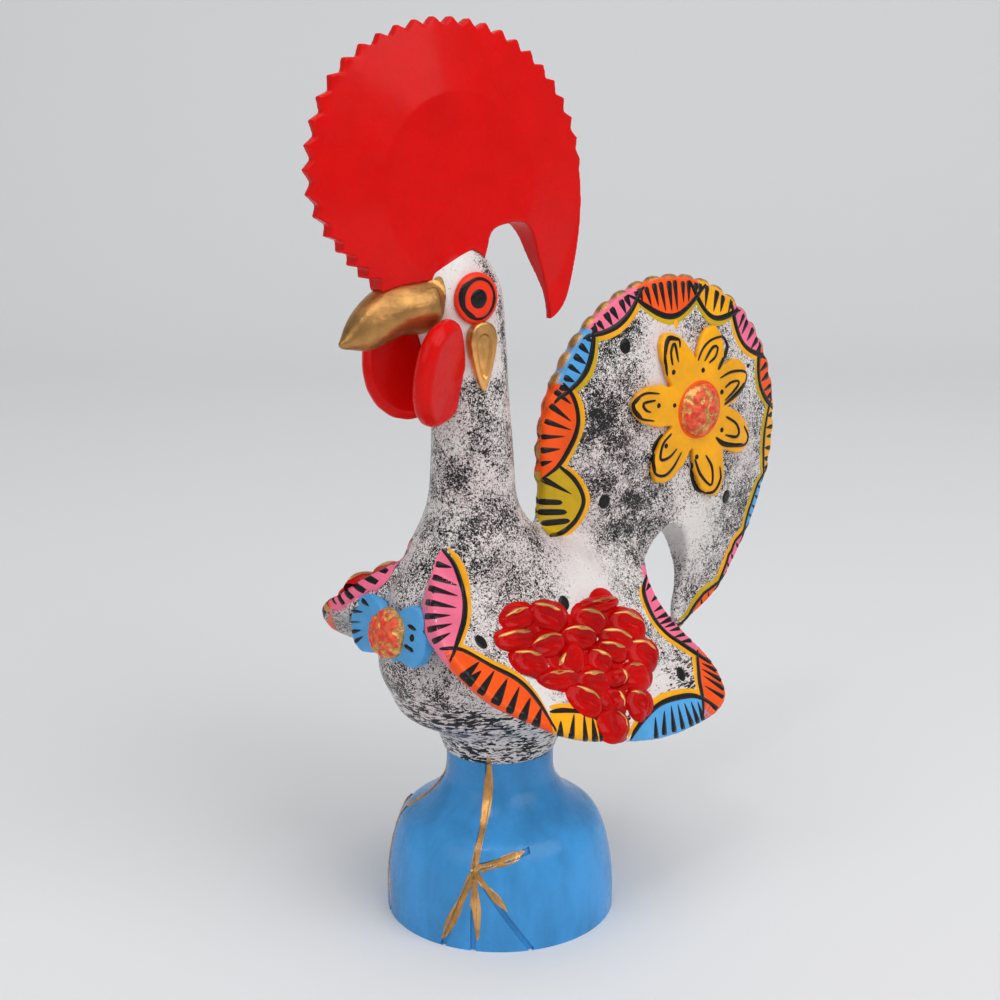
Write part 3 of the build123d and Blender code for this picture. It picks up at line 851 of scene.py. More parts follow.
# Scallops of the wing by pixels of the photograph: colour and width of the wedges, outer line, arc,
# and the broad and pointed end of each black wedge
wing_scallops = [
    (
        "pink", 8.5,
        [(437, 556), (431, 576), (425, 594), (423, 613), (428, 632), (435, 648), (448, 662)],
        [
            (442, 549), (453.5, 563.5), (460.7, 582.6), (464.7, 601.7), (463.9, 619.3), (459.9, 634),
            (450.3, 662),
        ],
        [
            ((436, 564), (452, 567.5)), ((433, 577), (458.3, 586)), ((429, 588), (457.5, 596.2)),
            ((426, 602), (456, 608)), ((425, 616.5), (450.3, 615.6)), ((428, 630), (452, 624)),
            ((433, 642), (450.3, 633)),
        ],
    ),
    (
        "orange", 11.0,
        [(448, 661), (460, 675), (478, 691), (497, 706), (517, 717), (536, 725), (553, 733)],
        [(440, 648.8), (457, 648.8), (469.4, 653.6), (491, 666), (517.3, 679.9), (536, 699), (556, 731)],
        [
            ((462, 679), (479, 662)), ((467, 684), (481, 671)), ((480, 694), (494, 671)),
            ((495, 704), (507, 679)), ((509, 713), (519, 687)), ((522, 720), (530, 698)),
            ((535, 727), (541, 708)),
        ],
    ),
    (
        "yellow", 7.5,
        [(553, 733), (562, 737), (573, 740), (584, 741.5), (595, 742), (604, 742), (612, 742)],
        [(549.7, 712.2), (558, 711), (566.3, 710.6), (582.9, 712.2), (593, 716), (603, 726), (610, 740)],
        [
            ((560, 737), (560.5, 721)), ((571, 740), (573.8, 714)), ((585.4, 741), (583.7, 714)),
            ((595.3, 742), (592, 717)), ((603, 742), (597, 721)),
        ],
    ),
    (
        "sky", 5.5,
        [(634, 741), (646, 740), (658, 738.5), (670, 735), (682, 731), (694, 726), (706, 718)],
        [(630, 740), (636, 730), (645, 718), (660, 704), (679, 697.3), (697, 696.5), (717, 708)],
        [
            ((656, 738), (655, 717)), ((664, 735), (664, 710.6)), ((674, 732), (670.8, 705.6)),
            ((683, 729), (677.4, 704)), ((692, 726), (684, 703)), ((698, 723), (690.7, 701.5)),
            ((703, 720), (697.3, 701.5)),
        ],
    ),
    (
        "orange", 5.5,
        [(706, 718), (720, 711), (727, 701), (728, 689), (722, 675), (712, 662), (699, 650)],
        [
            (703.1, 715), (702.3, 697), (699.5, 683), (698.3, 670), (697.6, 662), (697.3, 656),
            (697.3, 650),
        ],
        [
            ((715, 664), (700.6, 656)), ((721, 673), (701.5, 663.3)), ((726, 683), (701.5, 669)),
            ((727, 691), (703, 675.8)), ((726, 699), (704, 685.7)), ((719, 711), (702.3, 696.5)),
        ],
    ),
    (
        "pink", 6.0,
        [(698, 649), (688, 637), (676, 623), (665, 610), (656, 596), (650, 583), (647, 566)],
        [
            (711, 664), (697, 654), (682.4, 644.3), (665.8, 632.6), (652.5, 616), (643.5, 592),
            (647.5, 574),
        ],
        [
            ((651, 582), (646, 591)), ((658.5, 594.5), (651, 602)), ((664.5, 605), (653.4, 612)),
            ((668.5, 613.4), (655, 619.4)), ((672, 618.4), (659, 624.4)), ((677, 622.5), (664, 627.7)),
            ((682, 627.5), (669, 631)), ((687, 633.3), (673.3, 637.6)), ((692, 640), (678.3, 642.6)),
        ],
    ),
]


def paint_wing_scallop(part, glaze, span, rim_pixels, arc_pixels, wedges):
    """Coat, yellow band, black arc and wedges of one scallop; gives back its places on the rim."""
    count = 31
    arc = from_photo(curve(arc_pixels, count))
    rim = photo_coat(part, glaze, curve(rim_pixels, count), curve(arc_pixels, count))
    band = []
    for index in range(1, count - 1):
        inward = (arc[index] - rim[index]).normalized()
        band.append(on_clay(arc[index] + inward * band_width * 0.72, 0))
    stroke(part, "yellow", band, band_width, band_lift)
    stroke(part, "black", arc, line_width, line_lift)
    for broad, pointed in wedges:
        photo_mark(part, "black", broad, pointed, span * dice.uniform(0.85, 1.15))
    return rim


rim_marks = [(scallop[0], paint_wing_scallop("wing_left", *scallop)) for scallop in wing_scallops]

# The two lowest scallops on the tail's front, their bars and a yellow drip, by pixels
tail_front_scallops = [
    (
        "orange", 6.5,
        [(553, 384), (547, 398), (543, 414), (541, 430), (540, 446), (540, 462), (541, 477)],
        [(563, 383), (573.5, 398), (578, 416), (576.5, 431), (570.5, 446), (558.5, 465.5), (542, 479)],
        [
            ((555, 391), (571, 404)), ((550, 405), (571, 421.4)), ((545, 421), (571, 430)),
            ((541, 437), (565, 436.4)), ((541, 450.5), (560, 449)), ((541, 464), (552, 461)),
        ],
    ),
    (
        "ochre", 6.5,
        [(541, 479), (538, 488), (536.5, 500), (536.5, 512), (539, 521), (543, 529), (549, 535)],
        [(558.5, 465.5), (575, 480.5), (583.5, 500), (577, 518), (568, 528), (561, 533), (554, 536.5)],
        [((542, 478.5), (571.5, 494))],
    ),
]
for scallop in tail_front_scallops:
    paint_wing_scallop("tail", *scallop)
tail_bars = [
    ((537, 501.5), (562.5, 502.5), 7.0),
    ((537, 512), (567, 512), 7.5),
    ((540, 523.5), (570, 520.5), 7.5),
    ((549, 536), (563, 532.5), 4.0),
]
drip_pixel = (676, 324)
second_coat = 0.03 * mm
for start, end, width in tail_bars:
    photo_mark("tail", "black", start, end, width, bar_profile, wedge_lift + second_coat)
dot("tail", "yellow", from_photo([drip_pixel])[0], 0.9 * mm, 1.7 * mm)

# Dots on the tail, by x and z in mm, and on the wing, by pixels
tail_dots = [(50.8, 192.4), (40.8, 139.3), (102.0, 131.4)]
wing_dots = [(481, 642), (564, 603), (681, 674)]
for x, z in tail_dots:
    dot("tail", "black", from_side([(x * mm, z * mm)])[0], 2.3 * mm, 2.7 * mm)
for place in wing_dots:
    dot("wing_left", "black", from_photo([place])[0], 2.2 * mm, 2.6 * mm)

# Flower on the tail: each petal's outer stroke, its bold stretch, inner loop and dot, by pixels
petal_strokes = [
    (
        [
            (661.8, 390.9), (647.9, 390.2), (638.2, 394.1), (630.3, 403.7), (632.4, 413.4),
            (640.4, 421.9), (655.4, 424.1),
        ],
        (2, 6),
        [(655.4, 400.5), (643.6, 403.7), (645.7, 410.1), (651, 412.3)],
        (658.8, 405.6),
    ),
    (
        [(681.1, 345.9), (680, 336.2), (669.3, 334.1), (665, 340.5), (662.9, 356.6), (666.1, 380.1)],
        (1, 5),
        [(672.5, 365.1), (671, 352), (674.6, 343.7), (678.3, 362)],
        (673.6, 372.2),
    ),
    (
        [
            (695, 361.9), (700.4, 348), (710, 337.3), (722.9, 332.6), (727.1, 335.1), (730.4, 343.7),
            (727.1, 356.6), (719.6, 372.6),
        ],
        (4, 8),
        [(704.6, 360.9), (712.1, 348), (717.5, 346.9), (715.4, 356.6), (708.9, 363)],
        (703.1, 370.1),
    ),
    (
        [
            (717.5, 375.9), (731.4, 368.4), (746.4, 367.3), (749.6, 373.7), (746.4, 384.4),
            (737.9, 395.1), (722.9, 408),
        ],
        (3, 7),
        [(725, 387.6), (731.4, 382.3), (738.9, 381.2), (735.7, 388.7), (725, 400.5)],
        (721.8, 391.9),
    ),
    (
        [(712.1, 439.1), (720.7, 446.6), (731.4, 448.7), (746.4, 448.7), (751.4, 438), (746.4, 425.1)],
        (0, 4),
        [(726.1, 416.6), (735.7, 423), (738.9, 431.6), (735.7, 436.9), (725, 434.8)],
        (721.8, 429.9),
    ),
    (
        [
            (689.6, 461.6), (688.6, 476.6), (693.9, 491.6), (705.7, 498), (716.4, 495.9), (723.9, 480.9),
            (722.9, 465.9),
        ],
        (0, 4),
        [(695, 459.4), (700.4, 474.4), (711.1, 485.1), (712.1, 468), (705.7, 455.1)],
        (696.7, 456.9),
    ),
    (
        [
            (660.7, 430.5), (651.1, 446.6), (650, 463.7), (652.1, 478.7), (662.9, 481.9), (673.6, 472.3),
            (684.3, 453),
        ],
        (0, 4),
        [(671.4, 433.7), (662.9, 444.4), (660.7, 459.4), (669.3, 457.3), (676.8, 448.7)],
        (666.1, 445.9),
    ),
]
loose_dots = [(674.6, 405.4), (747.9, 365.6)]
petal_pull = 0.18
for outer, bold, loop, spot in petal_strokes:
    heart = [sum(values) / len(loop) for values in zip(*loop)]
    outer = [tuple(a + (b - a) * petal_pull for a, b in zip(pixel, heart)) for pixel in outer]
    stroke("tail", "black", from_photo(curve(outer, 26)), 1.0 * mm, line_lift, (0.3, 0.3))
    heavy = from_photo(curve(outer[bold[0] : bold[1]], 20))
    stroke("tail", "black", heavy, 1.8 * mm, line_lift + 0.02 * mm, (0.25, 0.35))
    stroke("tail", "black", from_photo(curve(loop, 18)), 1.05 * mm, line_lift, (0.5, 0.3))
    dot("tail", "black", from_photo([spot])[0], 0.85 * mm, 0.95 * mm)
for spot in loose_dots:
    dot("tail", "black", from_photo([spot])[0], 0.8 * mm, 0.8 * mm)

# The comb's red runs down over the crown to a slanting line
crown_lift = 0.03 * mm
crown_line = [(430, 277), (440, 270), (451, 262.6), (461, 256), (471, 250.5), (482, 245)]
crown_top = [(426, 270), (436, 257), (448, 244), (461, 237), (473, 236), (485, 237)]
crown_rows = []
for low, high in zip(from_photo(curve(crown_line, 25)), from_photo(curve(crown_top, 25))):
    row = [on_clay(low, -paint_sink)]
    for share, cling in ((0.04, 1.0), (0.2, 0.5), (0.45, 0.2), (0.7, 0.5), (0.9, 1.0)):
        place = low.lerp(high, share)
        row.append(place.lerp(on_clay(place, crown_lift), cling))
    row.append(on_clay(high, -paint_sink))
    crown_rows.append(row)
Paint.pot("head", "red").add(crown_rows)
beak_edge = [(426, 283), (433, 279), (441, 277), (444.5, 285), (446, 294), (445, 306)]
beak_root = [(426, 290), (431, 288), (436, 288), (438, 291), (440, 297), (441, 306)]
fill("head", "beak_gold", from_photo(curve(beak_edge, 19)), from_photo(curve(beak_root, 19)))

# Eye: an uneven ring, bolder on its front half by pixels, and a round pupil
eye_shadow_line = [(473, 280.5), (464, 287), (461, 298), (465, 310), (475, 317.5)]
eye_ring_wide, eye_ring_high = 6.2 * mm, 6.3 * mm
eye_ring = []
for angle in turns(36):
    across, up = eye_ring_wide * math.cos(angle), eye_ring_high * math.sin(angle)
    eye_ring.append((eye_middle.x + across, eye_middle.z + up))
stroke("head", "black", from_side(eye_ring), 1.15 * mm, line_lift, (1, 1), 0.3)
dot("head", "black", from_side([(eye_middle.x, eye_middle.z)])[0], 3.3 * mm, 3.1 * mm)
eye_shadow = from_photo(curve(eye_shadow_line, 20))
stroke("head", "black", eye_shadow, 1.7 * mm, line_lift + 0.02 * mm, (0.3, 0.3))

# Chest flower by pixels: ticks on the far petal, with a width in mm, a dot and two leaves on the
# near one
chest_ticks = [
    ((362, 600), (369, 606), 2.2),
    ((353, 611), (363, 612), 1.7),
    ((351, 622), (361, 622), 1.7),
    ((351, 632), (361, 630), 1.7),
    ((355, 641.5), (363, 636.5), 1.7),
]
chest_dot = (412, 638)
chest_leaves = [((408, 625), (416, 630)), ((404.5, 645), (413.5, 651.5))]
for pixel, inner, width in chest_ticks:
    wedge("chest", "black", from_photo(curve([inner, pixel], 8))[::-1], width * mm)
dot("chest", "black", from_photo([chest_dot])[0], 1.15 * mm, 1.25 * mm)
for pixel, inner in chest_leaves:
    stroke("chest", "black", from_photo([pixel, inner]), 1.3 * mm, line_lift, (0.2, 0.2))

# Far wing: a gold tip
far_tip = (327, 607)
dot("chest_wing", "gold", from_photo([far_tip])[0], 1.2 * mm, 2.0 * mm)

# Legs: gold brushed into the scratched lines, by pixels, with a width in mm and the share of it
# that is left at each end
leg_gold_lift = 0.12 * mm
leg_strokes = [
    ([(489, 757.5), (489, 780), (487.4, 800.4), (484, 822), (479, 847.4), (474, 871)], 2.7, (0.5, 0.6)),
    ([(474, 871), (462, 900), (443.7, 938)], 2.9, (0.5, 0.15)),
    ([(474, 871), (476, 905), (477.3, 940)], 2.9, (0.5, 0.2)),
    ([(474, 871), (489, 890), (507, 912)], 2.5, (0.5, 0.15)),
    ([(474, 871), (497, 862), (524.3, 850.8)], 2.7, (0.6, 0.1)),
]


def bell_foot(place):
    """The place itself and the way straight out from the bell's axis."""
    return place, Vector((place.x, place.y, 0)).normalized()


def on_bell(point, height):
    """The place on the bell straight in from this point, down into its scratched lines."""
    outward = Vector((point.x, point.y, 0)).normalized()
    place = ground.ray_cast(point + outward * bell_clear, -outward)[0]
    return (place or point) + outward * height


for pixels, width, ends in leg_strokes:
    line = even(from_photo(curve(pixels, 30)), paint_step)
    for _ in range(25):
        line[1:-1] = [(before + 2 * at + after) / 4 for before, at, after in zip(line, line[1:], line[2:])]
    ways = {"foot": bell_foot, "lay": on_bell, "shares": fine_shares}
    stroke("leg_left", "bright_gold", line, width * mm, leg_gold_lift, ends, 0.22, **ways)


# Berries: scale shaped lumps with a raised crescent that is brushed with gold, by pixels: centre,
# half length, half width, and the ridge's start, middle and end
berry_marks = [
    ((518.8, 617), 15.6, 12, ((508.8, 614.5), (518, 609), (528.8, 607))),
    ((551.3, 617), 17.5, 15, ((535, 602), (547, 604), (558.8, 609.5))),
    ((602.5, 603), 17, 8, ((595, 602), (607, 600.5), (617, 598))),
    ((592.5, 619.5), 15.6, 14, ((585, 611), (601, 609.5), (605.6, 619.5))),
    ((630, 623), 17, 14, ((615, 614.5), (630, 612), (645, 624.5))),
    ((517.5, 637), 17.8, 11.5, ((503.8, 635.8), (517.5, 630.8), (532.5, 632))),
    ((550, 642), 15.6, 13, ((536, 640.8), (545, 634), (561, 633))),
    ((581.3, 634.5), 15.6, 12.5, ((567.5, 630.8), (576, 625), (595, 633))),
    ((618.8, 638), 16, 11, ((607.5, 629.5), (620, 629.5), (632.5, 638))),
    ((645, 653), 14.5, 15, ((636, 640), (650, 642), (656, 648))),
    ((531.3, 660), 17, 12.5, ((520, 655.8), (530, 659), (541, 660.8))),
    ((575, 659.5), 15.6, 12.5, ((561, 662), (560, 654.5), (566, 650))),
    ((602.5, 659.5), 12, 13, ((593.8, 648), (598.5, 650), (611, 658))),
    ((615, 649.5), 14, 10, ((605, 644.5), (613.8, 646), (625, 650.8))),
    ((562.5, 677), 18.8, 10, ((553, 672), (563, 670), (573.8, 671.4))),
    ((595, 679.5), 16, 15, ((588, 674), (596, 671.5), (604, 674))),
    ((617.5, 677), 9, 14, ((619, 664), (625, 671), (626, 682))),
    ((638.8, 675.8), 12, 14, ((634, 664), (640, 661.5), (646, 664))),
    ((587.5, 698), 18, 12, ((580, 688), (591, 691), (600, 700))),
    ((615, 699.5), 12.5, 11, ((620, 690.8), (626, 696), (626, 704.5))),
    ((640, 703), 10, 14, ((636, 691), (642, 690), (646, 695))),
    ((616, 723.5), 15.5, 12.5, ((621, 709.5), (630, 717), (627.5, 724.5))),
]
berry_proud = 4.0 * mm
berry_seat = 0.5 * mm
berry_growth = 1.2
far_bunch_shift = (-19 * mm, 8.5 * mm)
far_bunch_clear = 60 * mm
far_bunch_leap = 9 * mm
far_bed_lift = 0.25 * mm
gold_half = 0.55 * mm
# Across the gold: offset in half widths, and lift in mm
berry_gold_profile = ((-1.5, -0.02), (-1.2, 0.1), (0, 0.12), (0.8, 0.1), (1.1, -0.02))


def berry_frame(mark):
    """Seat, outward, long and cross axis, half sizes and the ridge's line of one berry."""
    (px, py), half_long, half_wide, ridge = mark
    start, direction = pixel_ray((px, py))
    hit = skin_tree.ray_cast(start, direction)[0]
    outward = skin_tree.find_nearest(hit)[1]

    def on_plane(pixel, height):
        eye, look = pixel_ray(pixel)
        walk = ((hit - eye).dot(outward) + height) / look.dot(outward)
        return eye + look * walk - outward * height

    seat = on_plane((px, py), berry_proud * 0.45)
    run = Vector(ridge[2]) - Vector(ridge[0])
    run.normalize()
    long_end = on_plane((px + run.x * half_long, py + run.y * half_long), berry_proud * 0.45)
    wide_end = on_plane((px + run.y * half_wide, py - run.x * half_wide), berry_proud * 0.45)
    along = (long_end - seat).normalized()
    across = outward.cross(along).normalized()
    if across.dot(wide_end - seat) < 0:
        across = -across
    length = (long_end - seat).length * berry_growth
    width = abs((wide_end - seat).dot(across)) * berry_growth
    line = []
    for pixel in ridge:
        offset = on_plane(pixel, berry_proud * 0.9) - seat
        line.append((offset.dot(along) / length, offset.dot(across) / width))
    return seat, outward, along, across, length, width, line


def make_berry(mark):
    """Points, faces and gold rows of one berry: a lump with a sharp ridge and a hollow under it."""
    seat, outward, along, across, length, width, line = berry_frame(mark)
    xs = [point[0] for point in line]
    ys = [max(0.25, min(0.75, point[1])) for point in line]
    low = ys[0] + (ys[2] - ys[0]) * (xs[1] - xs[0]) / max(0.2, xs[2] - xs[0])
    arch = max(0.02, min(0.35, ys[1] - low + 0.08))
    tilt = (ys[2] - ys[0]) / max(0.6, xs[2] - xs[0])
    centre_y = (ys[0] + ys[2]) / 2 + arch * 0.6
    centre_x = (xs[0] + xs[2]) / 2
    phase = [dice.uniform(0, 2 * math.pi) for _ in range(4)]
    grow = dice.uniform(0.92, 1.1)

    def crest(x):
        return centre_y + tilt * (x - centre_x) * 0.6 - arch * (x - centre_x) ** 2 * 1.6

    def height(x, y):
        radius = min(1.0, math.hypot(x, y))
        dome = max(0.0, 1 - radius**2.2) ** 0.55
        gap = y - crest(x)
        edge = math.exp(-((gap / (0.13 if gap > 0 else 0.24)) ** 2)) * max(0.0, 1 - abs(x) ** 3)
        hollow = math.exp(-(((gap + 0.5) / 0.3) ** 2) - (x / 0.62) ** 2)
        lump = 0.05 * math.sin(4 * x + phase[0]) * math.sin(3.4 * y + phase[1])
        return dome * (0.78 + 0.36 * edge - 0.26 * hollow + lump)

    def place(x, y, lift=0.0):
        rise = height(x, y) * berry_proud * grow + lift - berry_seat
        return seat + along * (x * length) + across * (y * width) + outward * rise

    points = []
    rings, spokes = 16, 40
    for ring in range(rings + 1):
        reach = math.sin(math.pi / 2 * ring / rings)
        for spoke in range(spokes):
            angle = 2 * math.pi * spoke / spokes
            wobble = 1 + 0.05 * math.sin(2 * angle + phase[2]) + 0.05 * math.sin(3 * angle + phase[3])
            wobble += 0.05 * abs(math.sin(2 * angle))
            points.append(place(reach * wobble * math.cos(angle), reach * wobble * math.sin(angle)))
    faces = dome_faces(rings, spokes)
    if (along.cross(across)).dot(outward) < 0:
        faces = flipped(faces)
    gilt = []
    first, last = max(-0.8, xs[0] - 0.05), min(0.8, xs[2] + 0.05)
    for index in range(17):
        share = index / 16
        x = first + (last - first) * share
        half = gold_half / width * (0.15 + 0.85 * math.sin(math.pi * share) ** 0.6)
        half *= 1 + 0.3 * math.sin(9 * share + phase[0])
        gilt.append([place(x, crest(x) + offset * half, lift * mm) for offset, lift in berry_gold_profile])
    return seat, points, faces, gilt


# Bed of red under the berries, and in the gaps between them, by pixels
bed_lift = 0.5 * mm
bed_gaps = [(534, 628), (556, 660), (606, 628), (568, 626), (543, 627)]
for mark in berry_marks:
    dot("berry_bed", "berry", from_photo([mark[0]])[0], 7.2 * mm, 5.4 * mm, bed_lift)
for spot in bed_gaps:
    dot("berry_bed", "berry", from_photo([spot])[0], 4.2 * mm, 4.2 * mm, bed_lift)
berries = [make_berry(mark) for mark in berry_marks]


# Red ring at the foot of the tail flower's middle
boss_ring_radius = 9.8 * mm
boss_ring = []
for angle in turns(40):
    across, up = boss_ring_radius * math.cos(angle), boss_ring_radius * math.sin(angle)
    boss_ring.append((boss_middle.x + across, boss_middle.z + up))
stroke("tail", "orange", from_side(boss_ring), 1.5 * mm, line_lift, (1, 1))

# Grainy middles of the flowers
boss_grains = 64
chest_boss_tilt = 10
chest_boss_sink = 3.0 * mm
chest_boss_left = 0.8 * mm
chest_boss_rise = 1.3 * mm
tail_boss_sink = 0.6 * mm


def make_boss(name, node, middle, outward, radius, proud, seed):
    """A low dome with clay grains pressed into it."""
    rolls = random.Random(seed)
    outward = outward.normalized()
    side = outward.cross(upward).normalized()
    rise = side.cross(outward)
    grains = []
    for _ in range(boss_grains):
        angle = rolls.uniform(0, 2 * math.pi)
        reach = math.sqrt(rolls.random()) * 0.92
        grains.append((reach * math.cos(angle), reach * math.sin(angle), rolls.uniform(0.11, 0.2)))
    rings, spokes = 30, 72
    points = []
    pressed = []
    for ring in range(rings + 1):
        reach = math.sin(math.pi / 2 * ring / rings)
        for spoke in range(spokes):
            angle = 2 * math.pi * spoke / spokes
            x, y = reach * math.cos(angle), reach * math.sin(angle)
            dome = math.sqrt(max(0, 1 - reach**2.4))
            bump = 0.0
            for gx, gy, size in grains:
                away = ((x - gx) ** 2 + (y - gy) ** 2) / size**2
                if away < 1:
                    bump = max(bump, math.sqrt(1 - away) * size)
            pressed.append(min(1, bump / 0.16) * min(1, dome * 2))
            height = proud * (0.72 * dome + 1.1 * bump * min(1, dome * 2))
            swell = 1 + 0.03 * math.sin(5 * angle + seed)
            points.append(middle + (side * x + rise * y) * radius * swell + outward * height)
    mesh = bpy.data.meshes.new(name)
    mesh.from_pydata(points, [], dome_faces(rings, spokes))
    set_values(mesh, "grain", np.array(pressed))
    piece = finish_piece(name, mesh, "boss")
    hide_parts(node)
    return piece


for sign, side in ((1, "left"), (-1, "right")):
    foot = Vector((boss_middle.x, (petal_face + tail_boss_sink) * sign, boss_middle.z))
    name = "tail_flower_boss_" + side
    make_boss(name, name, foot, Vector((0, -sign, 0)), 9.6 * mm, 5.6 * mm, 3 + sign)
chest_tilt = math.radians(chest_boss_tilt)
chest_out = Vector((-math.cos(chest_tilt), 0, math.sin(chest_tilt)))
chest_foot = Vector((chest_middle.x, -chest_boss_left, chest_middle.z + chest_boss_rise))
chest_foot -= chest_out * chest_boss_sink
make_boss("chest_flower_boss", "chest_flower_boss", chest_foot, chest_out, 8.4 * mm, 6.0 * mm, 8)


# Speckle, rim paint and gilding as values on the skin's points. Bare places and sizes are in mm,
# turns in degrees.
speckle_share = 0.68
least_speckle = 0.02
dark_strength = 0.4
# Soft spots: x, z, radius and amount
pale_places = [
    (70.0, 178.0, 13.0, 0.75),
    (86.0, 122.0, 12.0, 0.6),
    (66.0, 196.0, 9.0, 0.5),
    (18.0, 112.0, 13.0, 0.7),
    (-20.0, 92.0, 10.0, 0.7),
    (30.0, 84.0, 12.0, 0.5),
    (24.0, 128.0, 12.0, 0.45),
]
dark_places = [
    (36.0, 168.0, 14.0, 0.8),
    (52.0, 140.0, 13.0, 0.8),
    (60.0, 124.0, 10.0, 0.7),
    (50.0, 196.0, 9.0, 0.7),
    (104.0, 120.0, 13.0, 0.6),
    (-16.0, 128.0, 12.0, 0.5),
    (-25.0, 160.0, 12.0, 0.3),
    (-30.0, 80.0, 14.0, 0.5),
]
# The face stays white above a height and before a slanting line down the cheek
face_low, face_fade = 188, 5
cheek_line, cheek_height, cheek_slant, cheek_fade = 2, 186, -0.16, 3
# A dark stripe runs down the back line of head and neck
nape_heights = [186.0, 196.0, 206.0, 216.0, 226.0]
nape_backs = [-2.0, -2.5, -3.0, -5.0, -10.0]
nape_low, nape_high, nape_inset, nape_half, nape_share = 184, 232, 2.5, 3.4, 0.8
# The speckle of the belly is smeared
smear_top, smear_fade = 92, 14
# Gold on the tail's bumps
gilt_deep, gilt_half, gilt_fade = 1.5, 2.4, 0.5
bumps_from_turn, bumps_to_turn = 338, 180
# Paint round the rims: how deep from the tail's edge, how far from the marks of the wing's scallops
tail_rim_deep, tail_rim_half, rim_beyond = 3.2, 6, 1
tail_rim_from_turn, tail_rim_to_turn, tail_rim_front = 285, 183, 20
root_deep, root_half, tail_front_low = 5, 7, 142.0
root_turns = [(155, 183, "orange"), (183, 207, "ochre")]
wing_inner, wing_top = 12, 150
rim_paint_reach = {"pink": 2.4 * mm, "orange": 3.4 * mm, "yellow": 3.2 * mm, "sky": 3.2 * mm}
rim_paint_fade = 0.6 * mm
far_rim_share = 0.45
rim_colours = {"pink": pink, "orange": orange, "yellow": yellow, "sky": sky, "ochre": ochre}


def speckle_cover(x, z):
    """Share of the speckle at each point."""
    cover = np.full(len(x), speckle_share)
    for px, pz, radius, amount in pale_places:
        cover -= amount * np.exp(-((x - px) ** 2 + (z - pz) ** 2) / radius**2)
    for px, pz, radius, amount in dark_places:
        cover += amount * dark_strength * np.exp(-((x - px) ** 2 + (z - pz) ** 2) / radius**2)
    face = np.clip((z - face_low) / face_fade, 0, 1)
    face = face * np.clip((cheek_line - x + (z - cheek_height) * cheek_slant) / cheek_fade, 0, 1)
    cover = np.where(face > 0, cover * (1 - face), cover)
    behind = np.interp(z, nape_heights, nape_backs)
    nape = np.exp(-(((x - behind + nape_inset) / nape_half) ** 2)) * (z > nape_low) * (z < nape_high)
    return np.clip(np.maximum(cover, nape_share * nape), least_speckle, 1.0)


def round_tail(x, z):
    """Turn and reach of each point round the tail's middle, and the rim's reach at that turn."""
    across = x - tail_middle.x / mm
    up = z - tail_middle.z / mm
    turn = np.degrees(np.arctan2(up, across)) % 360
    return turn, np.hypot(up, across), tail_reach[turn.astype(int) % 360] / mm


def bump_gilding(y, turn, reach, rim):
    """Share of gold on the bumps of the tail's rim."""
    deep = np.clip((reach - rim + gilt_deep) / gilt_fade, 0, 1)
    gilt = deep * np.clip((gilt_half - np.abs(y)) / gilt_fade, 0, 1)
    return gilt * (reach < rim + rim_beyond) * ((turn > bumps_from_turn) | (turn < bumps_to_turn))


def paint_tail_rim(paint, share, x, y, z, turn, reach, rim):
    """Carries the colours of the tail's scallops round its rim."""
    on_rim = (reach > rim - tail_rim_deep) & (reach < rim + rim_beyond) & (np.abs(y) < tail_rim_half)
    on_rim &= ((turn > tail_rim_from_turn) | (turn < tail_rim_to_turn)) & (x > tail_rim_front)
    for start, end, _, glaze, _ in tail_scallops:
        inside = on_rim & ((turn - start) % 360 < end - start)
        paint[inside, :3] = rim_colours[glaze]
        share[inside] = 1
    edge = (np.abs(reach - tail_root_reach / mm) < root_deep) & (np.abs(y) < root_half)
    for start, end, glaze in root_turns:
        front = edge & (turn > start) & (turn < end) & (z > tail_front_low)
        paint[front, :3] = rim_colours[glaze]
        share[front] = 1


def paint_wing_rims(paint, share, points, y, z):
    """Carries the colours of the wing's scallops round the rims, from their nearest mark."""
    marks = [(place, glaze) for glaze, line in rim_marks for place in line]
    tree = KDTree(2 * len(marks))
    for index, (place, _) in enumerate(marks):
        tree.insert(place, 2 * index)
        tree.insert(Vector((place.x, -place.y, place.z)), 2 * index + 1)
    tree.balance()
    for index in np.where((np.abs(y) > wing_inner) & (z < wing_top))[0]:
        _, mark, distance = tree.find(points[index])
        glaze = marks[mark // 2][1]
        limit = rim_paint_reach[glaze] * (1 if y[index] < 0 else far_rim_share)
        if distance < limit:
            share[index] = min(1, (limit - distance) / rim_paint_fade)
            paint[index, :3] = rim_colours[glaze]


def paint_skin_values():
    """Writes what the glaze of the skin reads at each point."""
    mesh = skin.data
    points = points_of(mesh)
    x, y, z = (points[:, axis] / mm for axis in range(3))
    turn, reach, rim = round_tail(x, z)
    share = np.zeros(len(points))
    paint = np.zeros((len(points), 4))
    paint[:, 3] = 1
    paint_tail_rim(paint, share, x, y, z, turn, reach, rim)
    paint_wing_rims(paint, share, points, y, z)
    set_values(mesh, "speckle", speckle_cover(x, z))
    set_values(mesh, "smear", np.clip((smear_top - z) / smear_fade, 0, 1))
    set_values(mesh, "gilding", bump_gilding(y, turn, reach, rim))
    set_values(mesh, "rim_share", share)
    layer = mesh.attributes.new("rim_paint", "FLOAT_COLOR", "POINT")
    layer.data.foreach_set("color", paint.astype(np.float32).ravel())


paint_skin_values()


# Paint and berries become pieces, with a mirrored copy on the right
def mesh_piece(name, glaze, points, faces):
    mesh = bpy.data.meshes.new(name)
    mesh.from_pydata([tuple(point) for point in points], [], faces)
    return finish_piece(name, mesh, glaze)


def mirrored(points):
    """The same points on the right side, which follow the far wing's bend."""
    return [Vector(point) for point in bend_far_wing([(point.x, -point.y, point.z) for point in points])]


